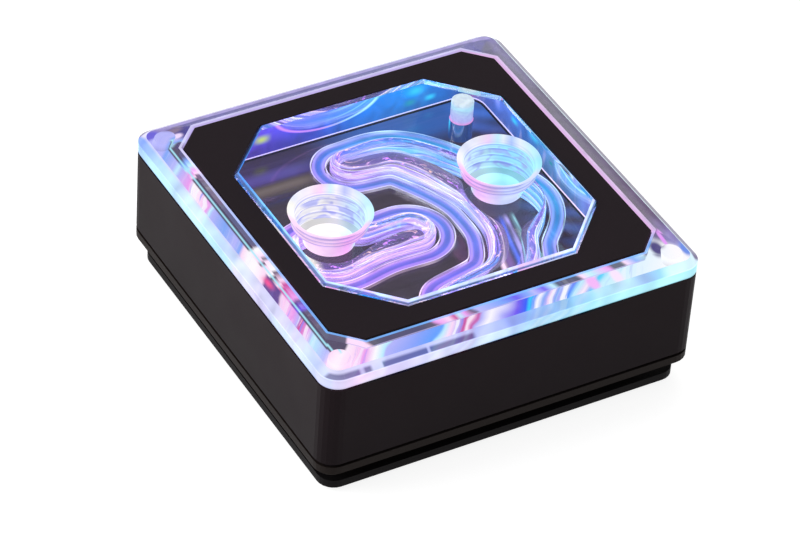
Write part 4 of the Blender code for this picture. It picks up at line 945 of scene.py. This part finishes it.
# Bands of light on a channel's wall, by millimetres up from its foot, and what takes the
# place of a colour where the light is cool
WALL_BANDS = [
    (0.0, ORCHID), (0.45, LILAC), (0.65, PLUM), (0.85, ORCHID), (1.5, ORCHID),
    (1.65, (0.85, 0.66, 1.0)), (1.85, VIOLET), (2.1, ORCHID), (2.8, ORCHID), (2.95, PINK),
    (3.1, PLUM), (3.35, ORCHID), (4.0, ORCHID), (4.15, WHITE), (4.35, DUSK), (4.6, ORCHID),
    (5.0, LILAC), (5.15, ROSE), (5.35, PLUM), (5.7, (0.07, 0.03, 0.22)),
    (8.0, (0.03, 0.015, 0.09))]
COOLER = {
    ORCHID: (0.1, 0.5, 0.98), LILAC: ICE, ROSE: WHITE, PINK: ICE, VIOLET: AZURE,
    PLUM: (0.02, 0.12, 0.5)}


def paint_channel():
    """A milled wall: bands of light along it that bend and fade, violet to the front left and
    cyan to the back right, with violet and sand glints on its arch."""
    paint = clear_acrylic("channel_wall", share=0.75, colour=(0.8, 0.8, 1.0))
    x, y, _ = paint.place()
    across, along = paint.along()
    bend = paint.noise(across * 0.2, along * 0.1, 0.0)
    reach = WALL_BANDS[-1][0]
    up = (across + (bend - 0.5) * 2.4) / reach
    warm, cold = (
        [(place / reach, change.get(colour, colour)) for place, colour in WALL_BANDS]
        for change in ({}, COOLER))
    cool = ((x * 1.1 + y * 0.3) / 40 + 0.3 + (bend - 0.5) * 0.6).ramp_up(0.35, 0.85)
    flow = paint.noise(across * 1.2, along * 0.12, 4.0, swirl=0.3)
    bands = paint.tint(
        paint.mix(cool, paint.ramp(up, warm), paint.ramp(up, cold)),
        flow.ramp_up(0.3, 0.58) * 0.75 + 0.25)
    # Painted glints on the arch, placed by a speckled noise
    grain_and_glow = paint.noise(across * 1.7, along * 0.75, 9.0, swirl=1.0)
    glint = grain_and_glow.ramp_up(0.58, 0.68) * across.hill(5.8, 1.6)
    spark = paint.mix((along * 0.37).wave(5.0), (0.55, 0.16, 1.0), (0.6, 0.36, 0.18))
    glare = x.ramp_up(-19.8, -21.6) * flow.ramp_up(0.22, 0.45)
    bands = paint.mix(glare * 0.85, bands, (1.0, 0.96, 0.72))
    return paint.lit(paint.sum(bands, paint.tint(spark, glint * 1.5)))


def window_light(paint, x, y):
    """The light's own colour inside the window, from lilac at the front left to azure."""
    return paint.ramp((x * 0.8 + y * 0.45) / 50 + 0.5, [
        (0.0, (0.3, 0.17, 1.0)), (0.4, (0.15, 0.15, 1.0)), (0.62, (0.08, 0.26, 1.0)),
        (0.85, (0.03, 0.44, 1.0))])


def paint_groove_roof():
    """Roof of a gasket groove: bright thin edges and a soft glow inside them."""
    paint = clear_acrylic("groove_roof")
    x, y, _ = paint.place()
    across, along = paint.along()
    cool = ((x * 0.8 + y * 0.4) / 44 + 0.4).ramp_up(0.1, 0.9)
    rim = across.hill(0.1, 0.22) + across.hill(2.7, 0.22)
    inner = across.hill(0.62, 0.45) + across.hill(2.2, 0.45)
    cloud = paint.noise(0.0, along * 0.12, 0.0).ramp_up(0.25, 0.7)
    return paint.lit(paint.sum(
        paint.tint(paint.mix(cool, ROSE, ICE), rim * (cloud * 0.8 + 0.2)),
        paint.tint(paint.mix(cool, (0.55, 0.22, 0.75), (0.15, 0.4, 0.9)), inner * 0.5)))


def paint_groove():
    """Walls of the gasket grooves: thin lines of light, rose white to ice blue."""
    paint = clear_acrylic("groove_wall", share=0.5, colour=(0.25, 0.22, 0.45))
    x, y, _ = paint.place()
    _, along = paint.along()
    colour = paint.mix(((x + y * 0.3) / 40 + 0.4).ramp_up(0.0, 1.0), (1.0, 0.66, 0.8), ICE)
    cloud = paint.noise(0.0, along * 0.12, 0.0)
    return paint.lit(paint.tint(colour, cloud.ramp_up(0.35, 0.75) * 0.6 + 0.06))


def paint_gasket():
    """Silicone in painted light: blue violet in its middle, violet at its edges."""
    paint = Paint("lit_silicone", (0.03, 0.03, 0.08), roughness=0.5)
    x, y, _ = paint.place()
    across, along = paint.along()
    middle = across.hill(1.9, 1.2)
    edge = paint.mix(0.55, window_light(paint, x, y), (0.62, 0.32, 0.95))
    soft = paint.noise(across * 0.5, along * 0.12, 0.0)
    return paint.lit(paint.tint(
        paint.mix(middle, edge, window_light(paint, x, y)), soft.ramp_up(0.25, 0.75) * 0.3 + 0.62))


def paint_port(name, strength, thread=False):
    """Port walls as the tool leaves them, in painted light: rose where the light falls from the
    front left, white to cyan inside, with a painted highlight on the crest and painted shade in
    the root of each turn of the thread."""
    paint = Paint(name, (0.16, 0.16, 0.2), roughness=0.3)
    x, y, z = paint.place()
    side = x.maths("SIGN")
    local = x - side * (PORT_X / MM)
    near, across = towards(local, y, NEAR), towards(local, y, ACROSS)
    cool = x / 40 + 0.45 + across / 13
    inside = paint.ramp(cool, [
        (0.0, (1.0, 0.98, 0.9)), (0.2, (0.95, 0.92, 1.0)), (0.45, (0.6, 0.88, 1.0)),
        (0.7, (0.55, 0.95, 1.0)), (1.0, (0.3, 0.85, 1.0))])
    outside = paint.ramp(cool, [
        (0.0, (0.98, 0.66, 0.92)), (0.3, (0.95, 0.42, 0.88)), (0.55, (0.88, 0.5, 0.9)),
        (0.9, (0.62, 0.7, 1.0))])
    patch = paint.noise(across * 0.5, z * 1.2, side, swirl=0.5)
    if thread:
        deep = z.ramp_up(CROWN - 1.4, CROWN - 2.0)
        inside = paint.mix(
            patch.ramp_up(0.46, 0.64) * near.ramp_up(-1.5, -3.5) * deep * 0.75, inside,
            (0.34, 0.38, 0.9))
        crown = paint.ramp(across / 14 + 0.5, [
            (0.0, (0.62, 0.7, 1.0)), (0.22, (0.98, 0.86, 1.0)), (0.36, (0.98, 0.52, 0.9)),
            (0.47, (0.55, 0.85, 1.0)), (0.54, (1.0, 0.96, 1.0)), (0.64, (0.36, 0.4, 0.98)),
            (0.74, (0.82, 0.76, 1.0)), (0.9, (0.45, 0.76, 1.0))])
        high = z.ramp_up(CROWN - 1.3, CROWN - 0.8)
        inside = paint.mix(high * near.ramp_up(-1.0, -3.0) * 0.75, inside, crown)
    colour = paint.mix(near.ramp_up(0.5, 3.0), inside, outside)
    soft = paint.liquid(x * 0.3, y * 0.3, z * 0.6, 1.0, 0.3)
    glow = soft.ramp_up(0.25, 0.75) * 0.2 + 0.85
    if thread:
        turn = z / (THREAD_PITCH / MM) - y.maths("ARCTAN2", local) / (2 * math.pi)
        line = paint.ramp(turn.maths("FRACT"), [
            (0.0, (1.0, 1.0, 1.0)), (0.15, (0.78, 0.78, 0.9)), (0.32, (0.9, 0.9, 0.96)),
            (0.46, (0.46, 0.48, 0.78)), (0.58, (0.6, 0.62, 0.88)), (0.68, (1.1, 1.1, 1.1)),
            (0.8, (0.8, 0.82, 0.92)), (1.0, (1.0, 1.0, 1.0))])
        lip = z.ramp_up(CROWN - 0.35, CROWN - 0.65)
        colour = paint.mix(lip, colour, paint.mix(1.0, colour, line, "MULTIPLY"))
    return paint.lit(paint.tint(colour, glow * strength))


def paint_tapped():
    """Tapped hole, frosted, in painted light: ice white at the top, lilac below, rose at its foot.
    """
    paint = Paint("tapped_hole", (0.3, 0.3, 0.4), roughness=0.4)
    x, y, z = paint.place()
    foot = CROWN - (TAPPED_COVER + TAPPED_DEPTH) / MM
    colour = paint.ramp((z - foot) / (TAPPED_DEPTH / MM), [
        (0.0, (0.9, 0.3, 0.75)), (0.12, (0.5, 0.48, 0.92)), (0.45, (0.5, 0.62, 0.95)),
        (0.75, (0.45, 0.9, 1.0)), (1.0, (0.85, 1.0, 1.0))])
    soft = paint.liquid(x, y, z, 0.8)
    return paint.lit(paint.tint(colour, soft * 0.4 + 0.5))


def paint_tapped_bore():
    """Clearance bore below the tapped hole: painted deep blue light, with a painted cyan line of
    light along its left edge.
    """
    paint = clear_acrylic("tapped_bore", share=0.2, colour=(0.01, 0.03, 0.1))
    x, y, z = paint.place()
    across = towards(x - TAPPED_HOLE[0] / MM, y - TAPPED_HOLE[1] / MM, ACROSS)
    edge = across.ramp_up(-1.7, -2.1)
    return paint.lit(paint.mix(edge * z.ramp_up(12.0, 17.0), (0.006, 0.035, 0.15), CYAN))


def dimmed(colour, share):
    """The colour times a number, as a plain value."""
    return tuple(part * share for part in colour)


def paint_black(name, colour, roughness, grain_and_glow, glow=0.0):
    """Matte black, finely grained in its tone, gloss and height, with painted shade that darkens
    it towards the bottom; glow is the painted light on the walls inside the housing."""
    paint = Paint(name, colour, roughness=roughness)
    paint.set("Specular IOR Level", 0.06)
    x, y, z = paint.place()
    fine = paint.noise(x, y, z, grain_and_glow, 3.0)
    broad = paint.noise(x, y, z, 0.12, 2.0)
    paint.set("Roughness", fine * 0.14 + broad * 0.08 + (roughness - 0.11))
    tone = paint.mix(fine, dimmed(colour, 0.75), dimmed(colour, 1.25))
    # Painted shade: the base colour darkens towards the bottom
    paint.set("Base Color", paint.tint(tone, z.ramp_up(2.0, 24.0) * 0.35 + 0.65))
    paint.set("Normal", paint.node("Bump", inputs={
        "Strength": 0.35, "Distance": 0.02 * MM, "Height": fine}))
    if glow:
        inside = reach_out(x, y).ramp_up(34.2, 33.8)
        paint.lit(paint.tint((0.25, 0.35, 1.0), inside * (fine * 0.6 + 0.7) * glow))
    return paint.material


# Painted streaks of reflected light down the outlet channel's front arm: middle and reach
# across the arm, and colour
STREAKS = [
    (-0.7, 0.9, (1.0, 0.72, 0.95)), (0.6, 1.5, (0.16, 0.08, 0.3)), (2.4, 1.1, (0.08, 0.16, 0.95)),
    (3.6, 0.8, (0.45, 0.4, 0.95)), (4.8, 0.7, (0.4, 0.9, 1.0))]


def paint_mirror():
    """The dark mirror plate under the channels, with painted reflections of the light that it
    catches: a blue and a sand streak at the back left, deep blue at the back right, pale bars at
    the front, and a rose, a plum and a blue streak down the outlet channel's front arm."""
    paint = Paint("mirror_plate", (0.035, 0.03, 0.04), roughness=0.08, metallic=1.0)
    x, y, z = paint.place()
    lines = paint.noise(x * 0.05, y * 1.6, z, detail=2.0)
    paint.set("Roughness", lines * 0.08 + 0.04)
    # Painted reflections of the light, added to the plate as glow
    left = x.ramp_up(-4.0, -12.0)
    sand = paint.tint((0.15, 0.125, 0.1), y.hill(19.3, 2.3) * left)
    violet_reflection = paint.tint((0.05, 0.04, 0.2), y.hill(22.6, 2.4) * left)
    deep = paint.tint((0.0, 0.09, 0.36), y.ramp_up(16.0, 24.0) * x.ramp_up(-8.0, 6.0))
    side = paint.tint((0.01, 0.05, 0.22), x.ramp_up(20.0, 24.0) * (x * 0.7 + y).wave(5.0))
    bars = paint.tint((0.05, 0.04, 0.06), (x + lines * 0.6).wave(3.4) * y.ramp_up(-12.0, -20.0))
    glow = paint.tint((0.01, 0.1, 0.2), x.hill(4.2, 1.6) * y.hill(-4.5, 4.0))
    base = paint.tint((0.04, 0.026, 0.052), lines + 0.4)
    arm = x - y * 0.22 - 14.6
    grain_and_glow = paint.liquid(arm * 1.2, y * 0.12, 1.0, 1.0, 0.3)
    length = y.ramp_up(-19.0, -15.0) * y.ramp_up(0.5, -2.0) * 1.3
    streaks = paint.sum(*(
        paint.tint(colour, arm.hill(middle, reach)) for middle, reach, colour in STREAKS))
    streaks = paint.tint(streaks, length * (grain_and_glow.ramp_up(0.25, 0.65) * 0.8 + 0.2))
    return paint.lit(paint.sum(base, sand, violet_reflection, deep, side, bars, glow, streaks))


def paint_metal(name, colour, roughness, stretch):
    """Metal with fine lines drawn along X."""
    paint = Paint(name, colour, roughness=roughness, metallic=1.0)
    x, y, z = paint.place()
    lines = paint.noise(x * 0.06, y * stretch, z, detail=3.0)
    paint.set("Roughness", lines * 0.1 + (roughness - 0.05))
    paint.set("Base Color", paint.mix(lines, dimmed(colour, 0.8), dimmed(colour, 1.2)))
    return paint.material


def paint_plain(name, colour, roughness, glow=0.0):
    """A moulded or printed surface with soft mottling; glow is the strength of the painted light
    from the lights beside it.
    """
    paint = Paint(name, colour, roughness=roughness)
    x, y, z = paint.place()
    mottle = paint.noise(x, y, z, 1.5, 3.0)
    paint.set("Base Color", paint.mix(mottle, dimmed(colour, 0.88), colour))
    if glow:
        paint.lit(paint.tint(rim_glow(paint, x, y, z), mottle * glow))
    return paint.material


def paint_led():
    """A lit resin lens: pink at the front left through violet and white to cyan."""
    paint = Paint("led_lens", (0.9, 0.92, 0.9), roughness=0.2)
    x, y, _ = paint.place()
    colour = paint.ramp((x * 0.6 + y * 0.5) / 70 + 0.5, [
        (0.0, PINK), (0.3, (0.9, 0.5, 1.0)), (0.5, (0.5, 0.6, 1.0)), (0.7, (0.3, 0.8, 1.0)),
        (1.0, (0.1, 1.0, 0.9))])
    return paint.lit(paint.tint(colour, 2.2))


def make_camera():
    """The photo's view, from its turn, height and roll round the window's centre."""
    turn, height, roll = (math.radians(a) for a in VIEW_ANGLES)
    out = math.cos(height)
    back = Vector((math.sin(turn) * out, -math.cos(turn) * out, math.sin(height)))
    level = Vector((math.cos(turn), math.sin(turn), 0))
    upward = back.cross(level)
    right = math.cos(roll) * level + math.sin(roll) * upward
    up = math.cos(roll) * upward - math.sin(roll) * level
    data = bpy.data.cameras.new("photo_view")
    data.lens = VIEW_LENS
    data.sensor_width = VIEW_SENSOR
    data.clip_start = VIEW_CLIP
    camera = bpy.data.objects.new("photo_view", data)
    place = Vector((0, 0, PLATEAU)) + back * VIEW_DISTANCE
    place = place - right * VIEW_SHIFT[0] - up * VIEW_SHIFT[1]
    turned_axes = Matrix((right, up, back)).transposed().to_4x4()
    camera.matrix_world = Matrix.Translation(place) @ turned_axes
    bpy.context.scene.collection.objects.link(camera)
    bpy.context.scene.camera = camera


def make_lamp(name, place, size, power):
    """A soft square lamp aimed at the block, with no mirror image of its own."""
    data = bpy.data.lights.new(name, "AREA")
    data.size = size
    data.energy = power
    lamp = bpy.data.objects.new(name, data)
    lamp.location = place
    lamp.visible_glossy = False
    lamp.rotation_euler = Vector(place).to_track_quat("Z", "Y").to_euler()
    bpy.context.scene.collection.objects.link(lamp)


def ray_share(paint, *kinds):
    """1 for rays of these kinds, 0 for others."""
    share, *more = [paint.node("LightPath", output=f"Is {kind} Ray") for kind in kinds]
    for path in more:
        share = share.maths("MAXIMUM", path)
    return share


def make_studio():
    """A white floor and world, and plain soft lamps. Seen directly or in a mirror, the floor
    is nearly white, but it throws little light; the world is dim overhead in a mirror."""
    paint = Paint("floor_white", (0.45, 0.45, 0.45), roughness=0.9, specular_ior_level=0.0)
    seen = ray_share(paint, "Camera", "Glossy", "Transmission")
    mesh = bpy.data.meshes.new("floor")
    corners = [
        (x * FLOOR_REACH, y * FLOOR_REACH, 0) for x, y in ((-1, -1), (1, -1), (1, 1), (-1, 1))]
    mesh.from_pydata(corners, [], [range(4)])
    mesh.materials.append(paint.lit(paint.mix(seen, (0.15, 0.15, 0.15), (0.86, 0.86, 0.86))))
    floor = bpy.data.objects.new("floor", mesh)
    floor.location.z = FLOOR_DROP
    bpy.context.scene.collection.objects.link(floor)
    room = Room("studio")
    up = room.node("SeparateXYZ", inputs=[room.node("TexCoord", output="Generated")], output=2)
    mirrored = ray_share(room, "Glossy", "Transmission") * (up.ramp_up(0.5, 0.2) * 0.75 + 0.25)
    seen = ray_share(room, "Camera")
    room.set("Strength", seen.maths("MAXIMUM", mirrored.maths("MAXIMUM", 0.3)))
    bpy.context.scene.world = room.material
    for lamp in LAMPS:
        make_lamp(*lamp)


def main():
    make_clear_top({
        "clear": clear_acrylic("clear_acrylic").material,
        "recess_side": paint_recess_side(),
        "body_side": paint_body_side(),
        "rim_floor": paint_rim_floor(),
        "rim_side": paint_rim_side(),
        "bevel": paint_bevel(),
        "ledge": paint_ledge(),
        "island_edge": paint_edge(),
        "port": paint_port("port_thread", 0.93, thread=True),
        "port_rim": paint_port("port_rim", 0.95, thread=True),
        "port_step": paint_port("port_step", 0.58),
        "port_bore": paint_port("port_bore", 1.0),
        "channel": paint_channel(),
        "groove": paint_groove(),
        "groove_roof": paint_groove_roof(),
        "tapped": paint_tapped(),
        "tapped_bore": paint_tapped_bore(),
        "screw_hole": paint_screw_hole(),
    })
    gasket = paint_gasket()
    for name, path, steps, _ in CHANNELS:
        make_gasket(name + "_ring", name + "_gasket", path, steps, gasket)
    nodes = frame["nodes"]
    screws = [name for name in nodes if "screw" in name]
    lights = [name for name in nodes if name[4:].isdigit()]
    for material, *names in (
            (paint_black("anodised_black", (0.013, 0.0068, 0.0092), 0.5, 6.0, 0.2), "housing"),
            (paint_black("band_black", (0.027, 0.0195, 0.0175), 0.5, 6.0), "base_frame"),
            (paint_black("frame_black", (0.0215, 0.0155, 0.019), 0.5, 9.0), "face_frame"),
            (paint_black("painted_black", (0.014, 0.012, 0.013), 0.55, 4.0), "mounting_plate"),
            (paint_metal("nickel", (0.62, 0.6, 0.57), 0.22, 8.0), "cold_plate"),
            (paint_mirror(), "flow_plate"),
            (paint_metal("steel", (0.3, 0.29, 0.28), 0.3, 3.0), "jet_plate", *screws),
            (paint_led(), *lights),
            (paint_plain("board", (0.72, 0.72, 0.78), 0.4, 0.5), "led_board"),
            (paint_plain("header_plastic", (0.65, 0.64, 0.6), 0.5), "led_header"),
            (paint_plain("rubber", (0.02, 0.02, 0.02), 0.7), "plate_seal", "cable_grommet"),
            (paint_plain("adhesive", (0.03, 0.03, 0.035), 0.6), "frame_adhesive")):
        for name in names:
            for slot in nodes[name].material_slots:
                slot.material = material
    make_studio()
    make_camera()
    bpy.context.scene.view_settings.view_transform = "Standard"


main()
